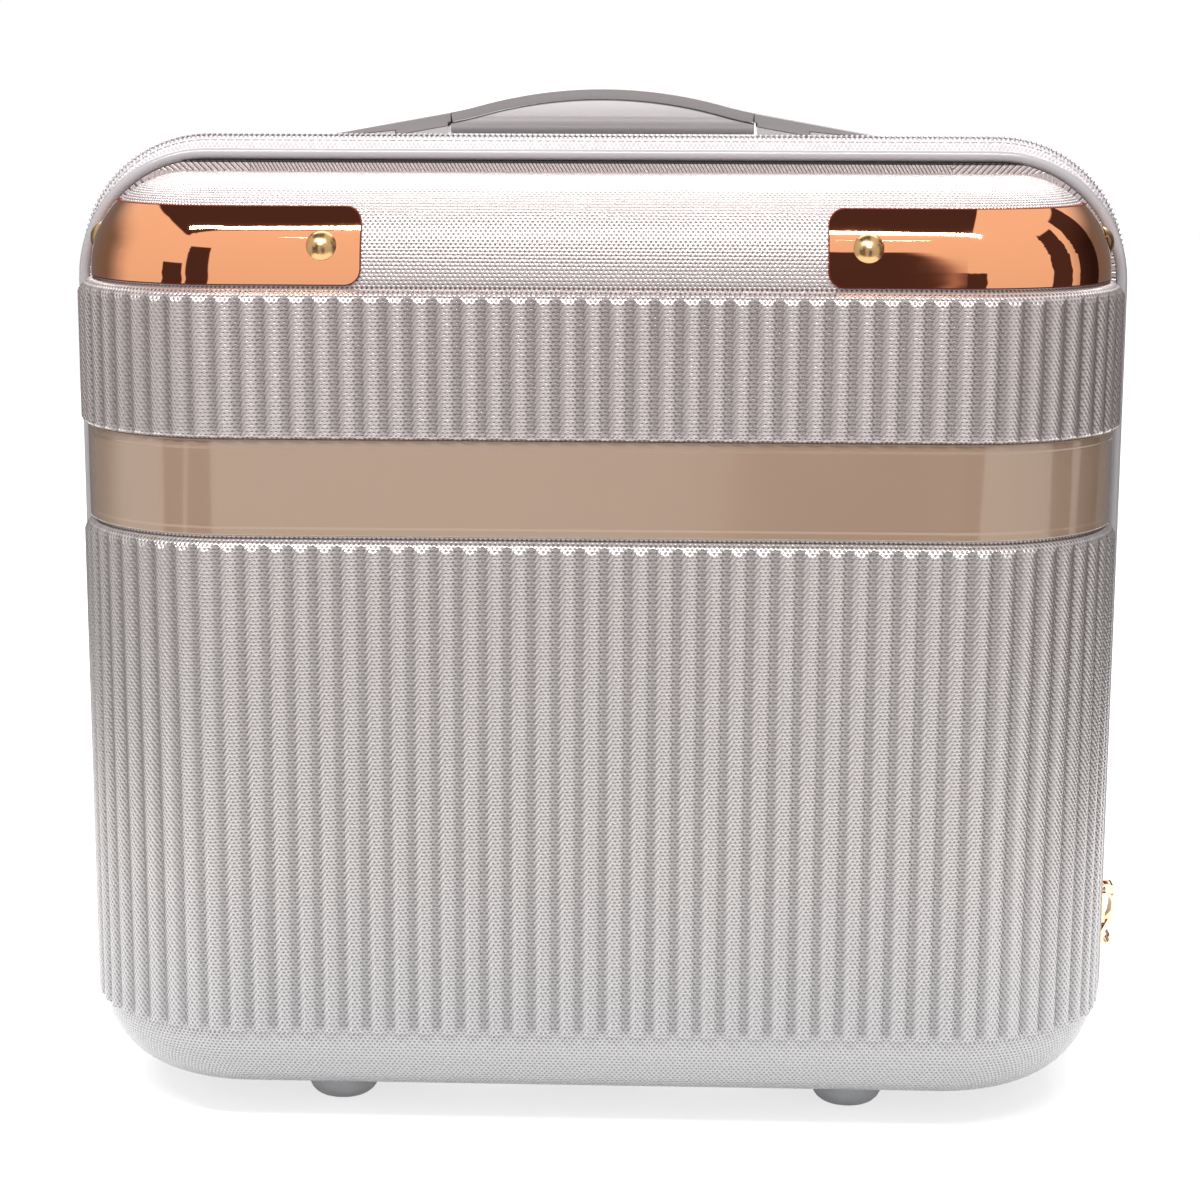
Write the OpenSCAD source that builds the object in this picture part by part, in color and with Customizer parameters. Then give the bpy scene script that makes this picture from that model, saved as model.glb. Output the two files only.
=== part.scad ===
/* [Case] */
// Width across the crests of the side ribs
case_w = 330; // [320:1:350]
// Depth from the front rib crests to the rear rib crests
case_d = 175; // [170:1:190]
// Height of the moulded shells without their feet
shell_h = 290.8; // [288:0.2:300]
// Radius of the upright edges, seen from above
corner_r = 54; // [52:1:55]
// Radius of the rolled top edge
top_roll = 30; // [29:0.5:31]
// Radius of the rolled bottom edge
bottom_roll = 28; // [27:0.5:29]
// Thickness of the moulded wall
wall = 2.2; // [1.8:0.1:2.6]
// Depth of the front shell, from its rib crests to its rim
front_depth = 64.5; // [63:0.5:66]
// Width of the gap between the two rims that the zip closes
zip_gap = 11; // [10.6:0.1:12]

/* [Reeding] */
// Distance from one rib to the next
rib_pitch = 7.4; // [6.9:0.1:8]
// Height of a rib over the groove beside it
rib_rise = 1.2; // [1.1:0.05:1.3]
// Radius of the soft grooves between the ribs
valley_r = 2; // [1.6:0.1:2.4]
// Height at which the ribs end at the bottom, over the ground
rib_low = 35; // [34:0.5:40]
// Distance from the top of the shell down to the shoulder at which the ribs end
rib_drop = 32.3; // [32.2:0.1:34]
// Radius of the shoulders over the ribs
shoulder_r = 6.5; // [5.5:0.5:7]
// Depth of the smooth cap behind the rib crests
cap_inset = 5.2; // [4.8:0.1:5.4]

/* [Belt trim] */
// Height of the lower edge of the belt groove
belt_low = 193; // [180:1:195]
// Height of the belt groove
belt_h = 29.9; // [28:0.1:32]
// Thickness of the belt trim
belt_t = 1.2; // [1:0.1:1.4]
// Depth of the trim's face behind the rib crests
belt_inset = 2; // [1.9:0.1:2.4]

/* [Corner plates] */
// Distance from the top of the shell down to the lower edge of the plates
plate_drop = 31.8; // [30.8:0.1:31.9]
// Height of a plate
plate_h = 23.4; // [22:0.1:24]
// Thickness of a plate
plate_t = 0.8; // [0.6:0.1:1]
// Length of a plate along the flat face, before it turns the corner
plate_reach = 41.2; // [37:0.2:46]
// Diameter of the domed rivet heads
rivet_d = 9.2; // [8:0.1:10]
// Height of the domed rivet heads
rivet_rise = 2.4; // [2:0.1:2.8]
// Distance from the inner end of a plate to its face rivet
rivet_inset = 12; // [10:0.5:14]

/* [Rim and piping] */
// Width of the raised rim that carries the piping
rim_w = 3.6; // [3.4:0.1:4]
// Height of the raised rim over the top of the shell
rim_rise = 3.5; // [3.2:0.1:3.8]
// Radius of the rim's upper corners
rim_top_r = 38; // [37.5:0.5:40]
// Diameter of the piping
piping_d = 3.8; // [3.4:0.1:4]

/* [Zip] */
// Diameter of one row of the coil
coil_d = 2.6; // [2.4:0.1:2.8]
// Height at which the zip ends at the bottom
zip_low = 44; // [42:1:50]
// Height of the slider's middle where it is parked
slider_z = 60; // [58:1:70]
// Length of the slider
slider_len = 13; // [12:0.5:14]
// Length of the pull below its pivot
pull_len = 21; // [18:0.5:24]

/* [Handle] */
// Height of the top of the handle's arch over the top of the shell
handle_rise = 25.6; // [25:0.1:27]
// Radius of the arch
arch_r = 150; // [146:1:156]
// Slope of the straight tails of the strip in degrees
tail_turn = 10.2; // [9.6:0.1:10.6]
// Width of the strip
strip_w = 22; // [20:1:24]
// Thickness of the strip
strip_t = 3; // [2.6:0.1:3.4]
// Thickness of the sleeves where the strip enters its mounts
sleeve_t = 4.1; // [3.8:0.1:4.3]
// Width of the grip body
grip_w = 26; // [24:1:28]
// Length of an end mount
mount_len = 45; // [43:1:47]
// Distance from the outer end of one mount to the other
mount_span = 190; // [188:1:192]

/* [Feet and hinges] */
// Height of the feet
foot_h = 10; // [9:0.5:11]
// Diameter of a foot where it meets the shell
foot_d = 25; // [23:0.5:26]
// Distance between the feet of a pair
foot_span = 166; // [158:1:170]
// Distance from the shell's face to the middle of its feet
foot_in = 43; // [42:0.5:45]
// Distance between the middles of the two hinges
hinge_span = 72; // [68:1:90]
// Width of a hinge
hinge_w = 34; // [30:1:40]
// Radius of the hinge knuckles
knuckle_r = 3; // [2.8:0.1:3.2]
// Radius of the hinge pins
pin_r = 1.3; // [1.2:0.05:1.5]

/* [Hidden] */
$fn = 96;

// Main heights and depths
low_z = foot_h;
top_z = low_z + shell_h;
back_depth = case_d - front_depth - zip_gap;
zip_y = -case_d / 2 + front_depth + zip_gap / 2;
flat_half = case_w / 2 - corner_r;
far = 400;

// Ribs: lobes and grooves are circles that touch, with the rise from groove to crest
rib_top = top_z - rib_drop;
flat_ribs = round(2 * flat_half / rib_pitch);
flat_step = 2 * flat_half / flat_ribs;
turn_ribs = round(corner_r * PI / 2 / rib_pitch - 0.5);
turn_step = 90 / (turn_ribs + 0.5);
wave_r = (pow(flat_step / 2, 2) + pow(rib_rise, 2)) / (2 * rib_rise);
lobe_r = wave_r - valley_r;
groove_bite = 0.01;
floor_in = rib_rise + 0.3;
crest_room = 0.3;
belt_curl = 3;

// Belt groove: the trim lies on the floor of the groove of the front shell
trim_gap = 0.1;
trim_floor = belt_inset + belt_t + trim_gap;
plain_floor = belt_inset;
plate_low = top_z - plate_drop;

// Rim and zip paths, seen from the front
rim_half = case_w / 2 - floor_in + 0.1;
rim_top = top_z + rim_rise;
rim_low = low_z - 0.4;
rim_low_r = bottom_roll - 1;
rim_band = 6;
seat_gap = 0.05;
cord_out = piping_d / 2 + seat_gap;
cord_in = rim_w / 2 + 0.1;
coil_out = 2.6;
zip_rise = 4.4;
coil_apart = 0.6;
tape_t = 0.7;
tape_drop = 3.9;

// Lining, pocket and straps inside the shells, clear of the finger recess
recess_deep = 7;
lining_t = 1.2;
lining_in = cap_inset + wall + 1.6;
lining_short = 1.5;
lining_top = top_z - recess_deep - wall - 0.5;
lining_roll = 22;
gusset_t = 0.8;
pocket_w = 210;
pocket_h = 120;
pocket_z = 90;
pocket_t = 3;
strap_w = 25;
strap_t = 2;

// Hinge: the axis lies under the rims, midway between them
axis_z = low_z - 4.5;
leaf_t = 1.6;
leaf_len = 20;
hinge_cut = 10;
knuckle_gap = 0.2;
knuckle_mid = 12;
pin_play = 0.05;
rivet_hole = 2;

// Handle
handle_y = zip_y + 24;
arch_z = top_z + handle_rise;
arch_half = 40;
arch_turn = asin(arch_half / arch_r);
grip_gap = 1;
grip_len = mount_span - 2 * mount_len - 2 * grip_gap;
ease_r = (grip_len / 2 - arch_half) / (sin(arch_turn) - sin(tail_turn));
ease_x = (arch_r + ease_r) * sin(arch_turn);
ease_z = arch_z - arch_r + (arch_r + ease_r) * cos(arch_turn);
tail_z = ease_z - ease_r * cos(tail_turn);
tail_end = mount_span / 2 - 4;
tail_tip = 0.6;
sleeve_len = 17;
tail_t = 2.5;
tail_seat = 0.1;
grip_low = top_z + 11.4;
grip_sink = 5;
recess_w = 32;
recess_len = grip_len + 6;
screw_r = 2;
screw_bite = 5;
foot_round = 5.5;
foot_flare = 1;

// Slider
slider_x = rim_half + coil_out;
slider_half = 4.3;
slider_play = 0.3;
plate_s = 1.2;
lug_w = 1.2;
lug_gap = 0.15;
eye_half = 1.8;
eye_r = 1.45;
pull_pin = 0.8;
pivot_z = slider_z + slider_len / 2 - 1;
pivot_x = slider_x + coil_d / 2 + slider_play + plate_s + eye_r + 0.4;

// Pull: a bow outwards, a straight run inwards and a scroll
blade_t = 1.1;
blade_half = 3.4;
bow_r = 14.4;
bow_rise = 5;
bow_drop = pull_len - 14.5;
scroll_r = 1.5;

// Flat region between s0 and s1 with its two outer corners rounded
module rolled(s0, s1, z0, z1, r0, r1) {
    rmax = max(r0, r1);
    translate([s0, z0]) square([s1 - rmax - s0, z1 - z0]);
    translate([s1 - rmax - 0.01, z0 + r0]) square([rmax + 0.01, z1 - z0 - r0 - r1]);
    if (r0 > 0) translate([s1 - r0, z0 + r0]) mirror([0, 1]) quarter(r0);
    if (r1 > 0) translate([s1 - r1, z1 - r1]) quarter(r1);
    if (r0 < rmax) translate([s1 - rmax - 0.01, z0]) square([rmax - r0 + 0.01, r0 + 0.01]);
    if (r1 < rmax) translate([s1 - rmax - 0.01, z1 - r1 - 0.01]) square([rmax - r1 + 0.01, r1 + 0.01]);
}

// Quarter of a disc
module quarter(r) {
    intersection() {
        circle(r);
        square(r + 1);
    }
}

// Rectangle round the origin with rounded corners, as points
function round_points(w, h, r, n = 6) = [for (q = [0:3], i = [0:n])
    let (a = 90 * (q + i / n), sx = (q == 0 || q == 3) ? 1 : -1, sy = q < 2 ? 1 : -1)
    [sx * (w / 2 - r) + r * cos(a), sy * (h / 2 - r) + r * sin(a)]];

// Runs an upright profile round the face, both corners and the sides of one shell
module wrap(depth, over = 0) {
    translate([-flat_half, corner_r, 0]) rotate([90, 0, 90])
        linear_extrude(2 * flat_half) mirror([1, 0]) children();
    for (m = [0, 1]) mirror([m, 0, 0]) {
        translate([flat_half, corner_r, 0]) rotate([0, 0, -90])
            rotate_extrude(angle = 90) outer_part() children();
        translate([flat_half, depth + over, 0]) rotate([90, 0, 0])
            linear_extrude(depth + over - corner_r) outer_part() children();
    }
}
module outer_part() {
    intersection() {
        children();
        translate([0, -far]) square([far, 3 * far]);
    }
}

// Places a piece of the front shell, or of the back shell, which faces the other way
module at_front() { translate([0, -case_d / 2, 0]) children(); }
module at_back() { mirror([0, 1, 0]) translate([0, -case_d / 2, 0]) children(); }

// Centres of the lobes of one half, from the middle of the face round the corner to the rim
function half_lobes(depth) = concat(
    [for (k = [0:flat_ribs]) if (2 * k >= flat_ribs - 1) [-flat_half + k * flat_step, lobe_r]],
    [for (k = [1:turn_ribs]) [flat_half + (corner_r - lobe_r) * sin(k * turn_step),
        corner_r - (corner_r - lobe_r) * cos(k * turn_step)]],
    [for (k = [1:side_ribs(depth)]) [case_w / 2 - lobe_r, corner_r + (k - 0.5) * flat_step]]);
function side_ribs(depth) = floor((depth - corner_r - piping_d) / flat_step + 0.15);

// Centre of the groove circle between two lobes, on their outer side, which just crosses both
function groove_centre(a, b) =
    let (half = norm(b - a) / 2, out = [b[1] - a[1], a[0] - b[0]] / norm(b - a))
    (a + b) / 2 + out * sqrt(pow(wave_r - groove_bite, 2) - pow(half, 2));

// Plan of the reeded shell: lobes and soft grooves along the face, the corners and the sides
module reeded_plan(depth) {
    lobes = half_lobes(depth);
    translate([-flat_half, floor_in]) square([2 * flat_half, depth - floor_in]);
    translate([-case_w / 2 + floor_in, corner_r])
        square([case_w - 2 * floor_in, depth - corner_r]);
    for (m = [0, 1]) mirror([m, 0]) {
        translate([flat_half, corner_r]) circle(corner_r - floor_in);
        for (place = lobes) translate(place) circle(lobe_r);
        for (k = [1:len(lobes) - 1]) difference() {
            polygon([lobes[k - 1], groove_centre(lobes[k - 1], lobes[k]), lobes[k]]);
            translate(groove_centre(lobes[k - 1], lobes[k])) circle(valley_r);
        }
    }
}

// Reeded belt of the shell between two heights, with rolled shoulders
module reeded_zone(depth, z0, z1, r0, r1) {
    intersection() {
        translate([0, 0, z0]) linear_extrude(z1 - z0) reeded_plan(depth);
        wrap(depth) rolled(corner_r - depth, corner_r + crest_room, z0 - (r0 > 0 ? 0 : 5), z1, r0, r1);
    }
}

// Upright profile of the wall under the ribs, the groove and the smooth cap, drawn in by t
module wall_profile(depth, groove, t = 0, over = 0) {
    s0 = corner_r - depth - over;
    belt_top = belt_low + belt_h;
    rolled(s0, corner_r - floor_in - t, low_z + t, belt_low - shoulder_r, bottom_roll - t, 0);
    rolled(s0, corner_r - groove - t, belt_low - 2 * shoulder_r, belt_top + 2 * belt_curl, 0, 0);
    rolled(s0, corner_r - floor_in - t, belt_top + belt_curl + t, rib_top - shoulder_r, 0, 0);
    rolled(s0, corner_r - cap_inset - t, rib_top - 2 * shoulder_r, top_z - t, 0, top_roll - t);
}

// Paths round the case, seen from the front, as half width, bottom, top and corner radii
rim_path = [rim_half, rim_low, rim_top, rim_low_r, rim_top_r];
cord_path = [rim_half + cord_out, rim_low - cord_out, rim_top + cord_out,
    rim_low_r + cord_out, rim_top_r + cord_out];
zip_path = [slider_x, rim_low - coil_out, rim_top + coil_out + zip_rise,
    rim_low_r + coil_out, rim_top_r + coil_out];

// Runs a section over the top of a path and down both sides to height z
module arch_run(path, z) {
    hw = path[0];
    r = path[4];
    translate([hw - r, 0, path[2]]) rotate([0, -90, 0]) linear_extrude(2 * (hw - r)) children();
    for (m = [0, 1]) mirror([m, 0, 0]) {
        translate([hw - r, 0, path[2] - r]) rotate([-90, 0, 0]) rotate([0, 0, -90])
            rotate_extrude(angle = 90) translate([r, 0]) children();
        translate([hw, 0, z]) linear_extrude(path[2] - r - z) children();
    }
}

// Runs a section under the bottom of a path and up both sides to height z
module cradle_run(path, z) {
    hw = path[0];
    r = path[3];
    translate([r - hw, 0, path[1]]) rotate([0, 90, 0]) linear_extrude(2 * (hw - r)) children();
    for (m = [0, 1]) mirror([m, 0, 0]) {
        translate([hw - r, 0, path[1] + r]) rotate([-90, 0, 0])
            rotate_extrude(angle = 90) translate([r, 0]) children();
        translate([hw, 0, path[1] + r]) linear_extrude(z - path[1] - r) children();
    }
}
module ring_run(path) {
    arch_run(path, zip_low) children();
    cradle_run(path, zip_low) children();
}

// One moulded shell before its holes are made
module moulded_shell(depth, groove) {
    difference() {
        union() {
            wrap(depth) wall_profile(depth, groove);
            reeded_zone(depth, rib_low, belt_low, 0, shoulder_r);
            reeded_zone(depth, belt_low + belt_h, rib_top, belt_curl, shoulder_r);
            translate([0, depth - rim_w, 0]) ring_run(rim_path)
                translate([-rim_band, 0]) square([rim_band, rim_w]);
        }
        wrap(depth, 1) wall_profile(depth, groove, wall, 1);
    }
}

// Hole through the wall for a rivet of the roll of the cap, at x on the face or on a side
module on_roll(x, side = 0) {
    tilt = asin((plate_low + plate_h / 2 - (top_z - top_roll)) / top_roll);
    if (side == 0)
        translate([x, cap_inset + top_roll, top_z - top_roll])
            rotate([90 - tilt, 0, 0]) children();
    else
        mirror([side < 0 ? 1 : 0, 0, 0])
            translate([case_w / 2 - cap_inset - top_roll, corner_r, top_z - top_roll])
                rotate([0, 90 - tilt, 0]) children();
}
module each_rivet(side) {
    on_roll(side * (flat_half - plate_reach + rivet_inset)) children();
    on_roll(0, side) children();
}

// Places of the feet and of the hinges' leaves on one shell
module each_foot() {
    for (m = [-1, 1]) translate([m * foot_span / 2, foot_in, 0]) children();
}
module each_hinge() {
    for (m = [-1, 1]) translate([m * hinge_span / 2, 0, 0]) children();
}
module each_leaf_rivet(depth) {
    for (m = [-1, 1]) translate([m * hinge_w / 4, depth - leaf_len + 6, 0]) children();
}
module lower_holes(depth) {
    each_foot() translate([0, 0, low_z - 1]) cylinder(h = wall + 2, r = screw_r);
    each_hinge() each_leaf_rivet(depth) translate([0, 0, low_z - 1])
        cylinder(h = wall + 2, r = rivet_hole);
    each_hinge() translate([-hinge_w / 2 - knuckle_gap, depth - rim_w - 1, rim_low - 1])
        cube([hinge_w + 2 * knuckle_gap, rim_w + 2, low_z - rim_low + 1]);
}

module front_shell() {
    color("#bfb3b5") at_front() difference() {
        moulded_shell(front_depth, trim_floor);
        for (m = [-1, 1]) each_rivet(m) cylinder(h = top_roll + 2, r = rivet_hole);
        lower_holes(front_depth);
    }
}

// The back shell has a shallow recess for the fingers under the handle
module recess_plan(grow) {
    translate([0, back_depth - (handle_y - zip_y - zip_gap / 2)])
        polygon(round_points(recess_len + 2 * grow, recess_w + 2 * grow, 12 + grow));
}
module back_shell() {
    color("#bfb3b5") at_back() difference() {
        union() {
            moulded_shell(back_depth, plain_floor);
            translate([0, 0, top_z - recess_deep - wall])
                linear_extrude(recess_deep + wall - 0.5) recess_plan(wall);
        }
        translate([0, 0, top_z - recess_deep]) linear_extrude(recess_deep + 5) recess_plan(0);
        lower_holes(back_depth);
        each_mount_screw() cylinder(h = wall + 2, r = screw_r);
    }
}
module each_mount_screw() {
    for (m = [-1, 1], e = [-1, 1])
        translate([m * (mount_span / 2 - mount_len / 2 + e * mount_len / 4),
            back_depth - (handle_y - zip_y - zip_gap / 2), top_z - wall - 1]) children();
}

// Glossy trim that lies in the belt groove and ends with rounded corners on the sides
module belt_trim() {
    reach = front_depth - rim_w - 3;
    h = belt_h - 2 * trim_gap;
    color("#c9ab96") at_front() intersection() {
        wrap(front_depth) translate([corner_r - belt_inset - belt_t, belt_low + trim_gap])
            square([belt_t, h]);
        translate([-far / 2, 0, belt_low + trim_gap + h / 2]) rotate([90, 0, 90])
            linear_extrude(far) polygon(round_points(2 * reach, h, 5));
    }
}

// Mirror plate that wraps an upper front corner, with rounded ends
module corner_plate(side) {
    reach = front_depth - rim_w - 0.8;
    inner = flat_half - plate_reach;
    mid = plate_low + plate_h / 2;
    color("#d98a6a") at_front() mirror([side < 0 ? 1 : 0, 0, 0]) difference() {
        intersection() {
            wrap(front_depth) difference() {
                rolled(0, corner_r - cap_inset + plate_t, plate_low, top_z + plate_t,
                    0, top_roll + plate_t);
                rolled(-1, corner_r - cap_inset + seat_gap, plate_low - 1, top_z + seat_gap,
                    0, top_roll + seat_gap);
                translate([-1, plate_low + plate_h]) square([corner_r + 1, far]);
            }
            translate([inner, 0, mid]) rotate([90, 0, 0]) translate([0, 0, -far / 2])
                linear_extrude(far) translate([far / 2, 0]) polygon(round_points(far, plate_h, 5));
            translate([0, 0, mid]) rotate([90, 0, 90])
                linear_extrude(far) polygon(round_points(2 * reach, plate_h, 5));
        }
        each_rivet(1) cylinder(h = top_roll + 4, r = rivet_hole);
    }
}
module corner_plate_left() { corner_plate(-1); }
module corner_plate_right() { corner_plate(1); }

// Domed brass rivets with a shank through plate and shell and a flat tail inside
module plate_rivets() {
    seat = top_roll + plate_t + seat_gap;
    dome_r = (pow(rivet_d / 2, 2) + pow(rivet_rise, 2)) / (2 * rivet_rise);
    color("#c8a96a") at_front() for (m = [-1, 1]) each_rivet(m) {
        intersection() {
            translate([0, 0, seat + rivet_rise - dome_r]) sphere(dome_r);
            translate([0, 0, seat]) cylinder(h = rivet_rise + 1, r = rivet_d);
        }
        translate([0, 0, top_roll - wall - 0.6]) cylinder(h = wall + plate_t + 0.8, r = rivet_hole - 0.1);
        translate([0, 0, top_roll - wall - 1.4]) cylinder(h = 1.2, r = rivet_hole + 1.2);
    }
}

// Welt round the rim of a shell, cut where the hinges cross it
module piping(depth) {
    color("#9d979c") difference() {
        translate([0, depth - cord_in, 0]) ring_run(cord_path) circle(piping_d / 2);
        each_hinge() translate([-hinge_w / 2 - knuckle_gap, depth - hinge_cut, 0])
            cube([hinge_w + 2 * knuckle_gap, 2 * hinge_cut, low_z + hinge_cut]);
    }
}
module front_piping() { at_front() piping(front_depth); }
module back_piping() { at_back() piping(back_depth); }

// Zip tape and coil of one shell, from the left end of the zip over the top to the right end
module zip_tape(depth) {
    near = zip_gap / 2 - 0.05;
    far_v = coil_apart + coil_d + 0.05;
    h = tape_t / 2;
    color("#b5a9ad") translate([0, depth + zip_gap / 2, 0]) arch_run(zip_path, zip_low)
        polygon([[-tape_drop - h, -near], [-h, -far_v], [h, -far_v], [h - tape_drop, -near]]);
}
module zip_coil(depth) {
    color("#a59aa0") translate([0, depth + zip_gap / 2, 0]) arch_run(zip_path, zip_low)
        translate([0, -coil_apart - coil_d / 2]) circle(coil_d / 2);
}
module front_zip_tape() { at_front() zip_tape(front_depth); }
module back_zip_tape() { at_back() zip_tape(back_depth); }
module front_zip_coil() { at_front() zip_coil(front_depth); }
module back_zip_coil() { at_back() zip_coil(back_depth); }

// Metal stops clamped round the lower ends of the back row of the coil
module zip_stops() {
    color("#c9a08a") for (m = [-1, 1])
        translate([m * slider_x - coil_d, zip_y + coil_apart + 0.3, zip_low - 4.2])
            cube([2 * coil_d, coil_d, 4]);
}

// Padded lining of one shell, with a lip at its edge that reaches the wall
module lining(depth, groove) {
    short = depth - rim_w - lining_short;
    color("#c9bfc4") difference() {
        union() {
            wrap(short) lining_profile(short, 0);
            intersection() {
                wrap(short) wall_profile(short, groove, wall + trim_gap);
                translate([-far / 2, short - lining_t, 0]) cube([far, lining_t, far]);
            }
        }
        wrap(short, 1) lining_profile(short + 1, lining_t);
    }
}
module lining_profile(depth, t) {
    rolled(corner_r - depth, corner_r - lining_in - t, low_z + lining_in + t, lining_top - t,
        bottom_roll - lining_in + floor_in - t, lining_roll - t);
}
module front_lining() { at_front() lining(front_depth, trim_floor); }
module back_lining() {
    at_back() difference() {
        lining(back_depth, plain_floor);
        translate([0, 0, lining_top + trim_gap])
            linear_extrude(recess_deep + wall) recess_plan(wall + trim_gap);
    }
}

// Flat pocket sewn to the lining of the lid
module lid_pocket() {
    back_y = lining_in + lining_t + pocket_t + seat_gap;
    color("#b9aeb4") at_front() translate([0, back_y, pocket_z + pocket_h / 2])
        rotate([90, 0, 0]) linear_extrude(pocket_t) polygon(round_points(pocket_w, pocket_h, 12));
}

// Crossed elastic straps sewn to the rear lining, one over the other
module packing_straps() {
    span = case_w - 2 * corner_r - 30;
    rise = shell_h - top_roll - bottom_roll - 60;
    lean = atan(rise / span);
    color("#8f868c") at_back() translate([0, lining_in + lining_t + strap_t + seat_gap, low_z + shell_h / 2])
        rotate([90, 0, 0]) linear_extrude(strap_t) for (m = [-1, 1])
            rotate(m * lean) square([norm([span, rise]), strap_w], center = true);
}

// Bowl-shaped feet with a counterbored screw
module feet() {
    bowl_r = foot_d / 2 - foot_flare;
    color("#aeb3b8") each_foot() difference() {
        rotate_extrude() {
            square([bowl_r - foot_round, foot_h]);
            translate([bowl_r - foot_round, foot_round]) mirror([0, 1]) quarter(foot_round);
            polygon([[0, foot_round], [bowl_r, foot_round], [foot_d / 2, foot_h - 1],
                [foot_d / 2, foot_h], [0, foot_h]]);
        }
        translate([0, 0, -1]) cylinder(h = 5, r = screw_r + 1.4);
        cylinder(h = foot_h + 1, r = screw_r);
    }
}
module foot_screws() {
    color("#8c8c90") each_foot() {
        translate([0, 0, 1.6]) cylinder(h = 2.4, r = screw_r + 1.2);
        translate([0, 0, 3.9]) cylinder(h = foot_h + wall + 3 - 3.9, r = screw_r - 0.15);
    }
}
module front_feet() { at_front() feet(); }
module back_feet() { at_back() feet(); }
module front_foot_screws() { at_front() foot_screws(); }
module back_foot_screws() { at_back() foot_screws(); }

// One leaf of a hinge: a plate on the shell's bottom, a step over the rim and its knuckles
module leaf(depth, knuckles) {
    axis_y = depth + zip_gap / 2;
    step_top = axis_z + knuckle_r - 0.2;
    step_low = step_top - leaf_t;
    edge = depth - 0.1;
    foot_of_step = depth - rim_w;
    difference() {
        union() {
            translate([-hinge_w / 2, 0, 0]) rotate([90, 0, 90]) linear_extrude(hinge_w)
                polygon([[depth - leaf_len, low_z - leaf_t], [foot_of_step, low_z - leaf_t],
                    [foot_of_step, step_low], [edge, step_low], [edge, low_z], [depth - leaf_len, low_z]]);
            for (k = knuckles) translate([k[0], 0, 0]) {
                translate([0, edge - 0.5, step_low]) cube([k[1], axis_y - edge + 0.5, leaf_t]);
                translate([0, axis_y, axis_z]) rotate([0, 90, 0]) cylinder(h = k[1], r = knuckle_r);
            }
        }
        translate([-hinge_w, axis_y, axis_z]) rotate([0, 90, 0])
            cylinder(h = 2 * hinge_w, r = pin_r + pin_play);
        each_leaf_rivet(depth) cylinder(h = low_z + 5, r = rivet_hole);
    }
}
side_w = (hinge_w - knuckle_mid) / 2 - knuckle_gap;
module front_hinge_leaves() {
    color("#b9b4b8") at_front() each_hinge()
        leaf(front_depth, [[-hinge_w / 2, side_w], [hinge_w / 2 - side_w, side_w]]);
}
module back_hinge_leaves() {
    color("#b9b4b8") at_back() each_hinge() leaf(back_depth, [[-knuckle_mid / 2, knuckle_mid]]);
}
module hinge_rivets(depth) {
    color("#9a9a9e") each_hinge() each_leaf_rivet(depth) {
        translate([0, 0, low_z - leaf_t - 1]) cylinder(h = 0.95, r = rivet_hole + 1);
        translate([0, 0, low_z - leaf_t - 0.1]) cylinder(h = leaf_t + wall + 0.3, r = rivet_hole - 0.1);
        translate([0, 0, low_z + wall + 0.05]) cylinder(h = 0.9, r = rivet_hole + 1);
    }
}
module front_hinge_rivets() { at_front() hinge_rivets(front_depth); }
module back_hinge_rivets() { at_back() hinge_rivets(back_depth); }
module hinge_pins() {
    color("#9a9a9e") each_hinge() translate([-hinge_w / 2 - 0.8, zip_y, axis_z])
        rotate([0, 90, 0]) cylinder(h = hinge_w + 1.6, r = pin_r);
}

// Fabric strip glued inside both walls, which closes the hinge side
module hinge_gusset() {
    reach = zip_gap / 2 + rim_w + 0.9;
    inside = floor_in + wall + seat_gap;
    path = [case_w / 2 - inside, low_z + wall + seat_gap, 0, bottom_roll - wall - seat_gap];
    color("#a79ea3") translate([0, zip_y, 0]) cradle_run(path, zip_low)
        translate([-gusset_t, -reach]) square([gusset_t, 2 * reach]);
}

// Side view of the strip over the grip: a convex arch that eases into the slope of the tails
module arch_shape() {
    centre = arch_z - arch_r;
    intersection() {
        translate([0, centre]) difference() {
            circle(arch_r);
            circle(arch_r - strip_t);
        }
        polygon([[0, centre], [-far * sin(arch_turn), centre + far * cos(arch_turn)],
            [far * sin(arch_turn), centre + far * cos(arch_turn)]]);
    }
    for (m = [0, 1]) mirror([m, 0]) intersection() {
        translate([ease_x, ease_z]) difference() {
            circle(ease_r + strip_t);
            circle(ease_r);
        }
        polygon([[ease_x, ease_z], [ease_x - far * sin(tail_turn), ease_z - far * cos(tail_turn)],
            [ease_x - far * sin(arch_turn), ease_z - far * cos(arch_turn)]]);
    }
}
module across_handle(w) {
    translate([0, handle_y + w / 2, 0]) rotate([90, 0, 0]) linear_extrude(w) children();
}
module handle_strip() {
    color("#bdb6b3") intersection() {
        across_handle(strip_w) arch_shape();
        translate([-grip_len / 2, handle_y - far / 2, top_z]) cube([grip_len, far, far]);
    }
}

// Tail of the strip: a short bare run, a sleeve and a thinning tongue on the mount
function tail_top(x) = tail_z - (x - grip_len / 2) * tan(tail_turn);
module handle_tail(side) {
    x0 = grip_len / 2 + 0.05;
    x1 = mount_span / 2 - mount_len;
    x2 = x1 + sleeve_len;
    color("#bdb6b3") mirror([side < 0 ? 1 : 0, 0, 0]) across_handle(strip_w)
        polygon([[x0, tail_top(x0)], [tail_end, tail_top(tail_end)],
            [tail_end, tail_top(tail_end) - tail_tip], [x2, tail_top(x2) - tail_t],
            [x2, tail_top(x2) - sleeve_t], [x1, tail_top(x1) - sleeve_t],
            [x1, tail_top(x1) - strip_t], [x0, tail_top(x0) - strip_t]]);
}
module handle_tail_left() { handle_tail(-1); }
module handle_tail_right() { handle_tail(1); }

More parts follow.
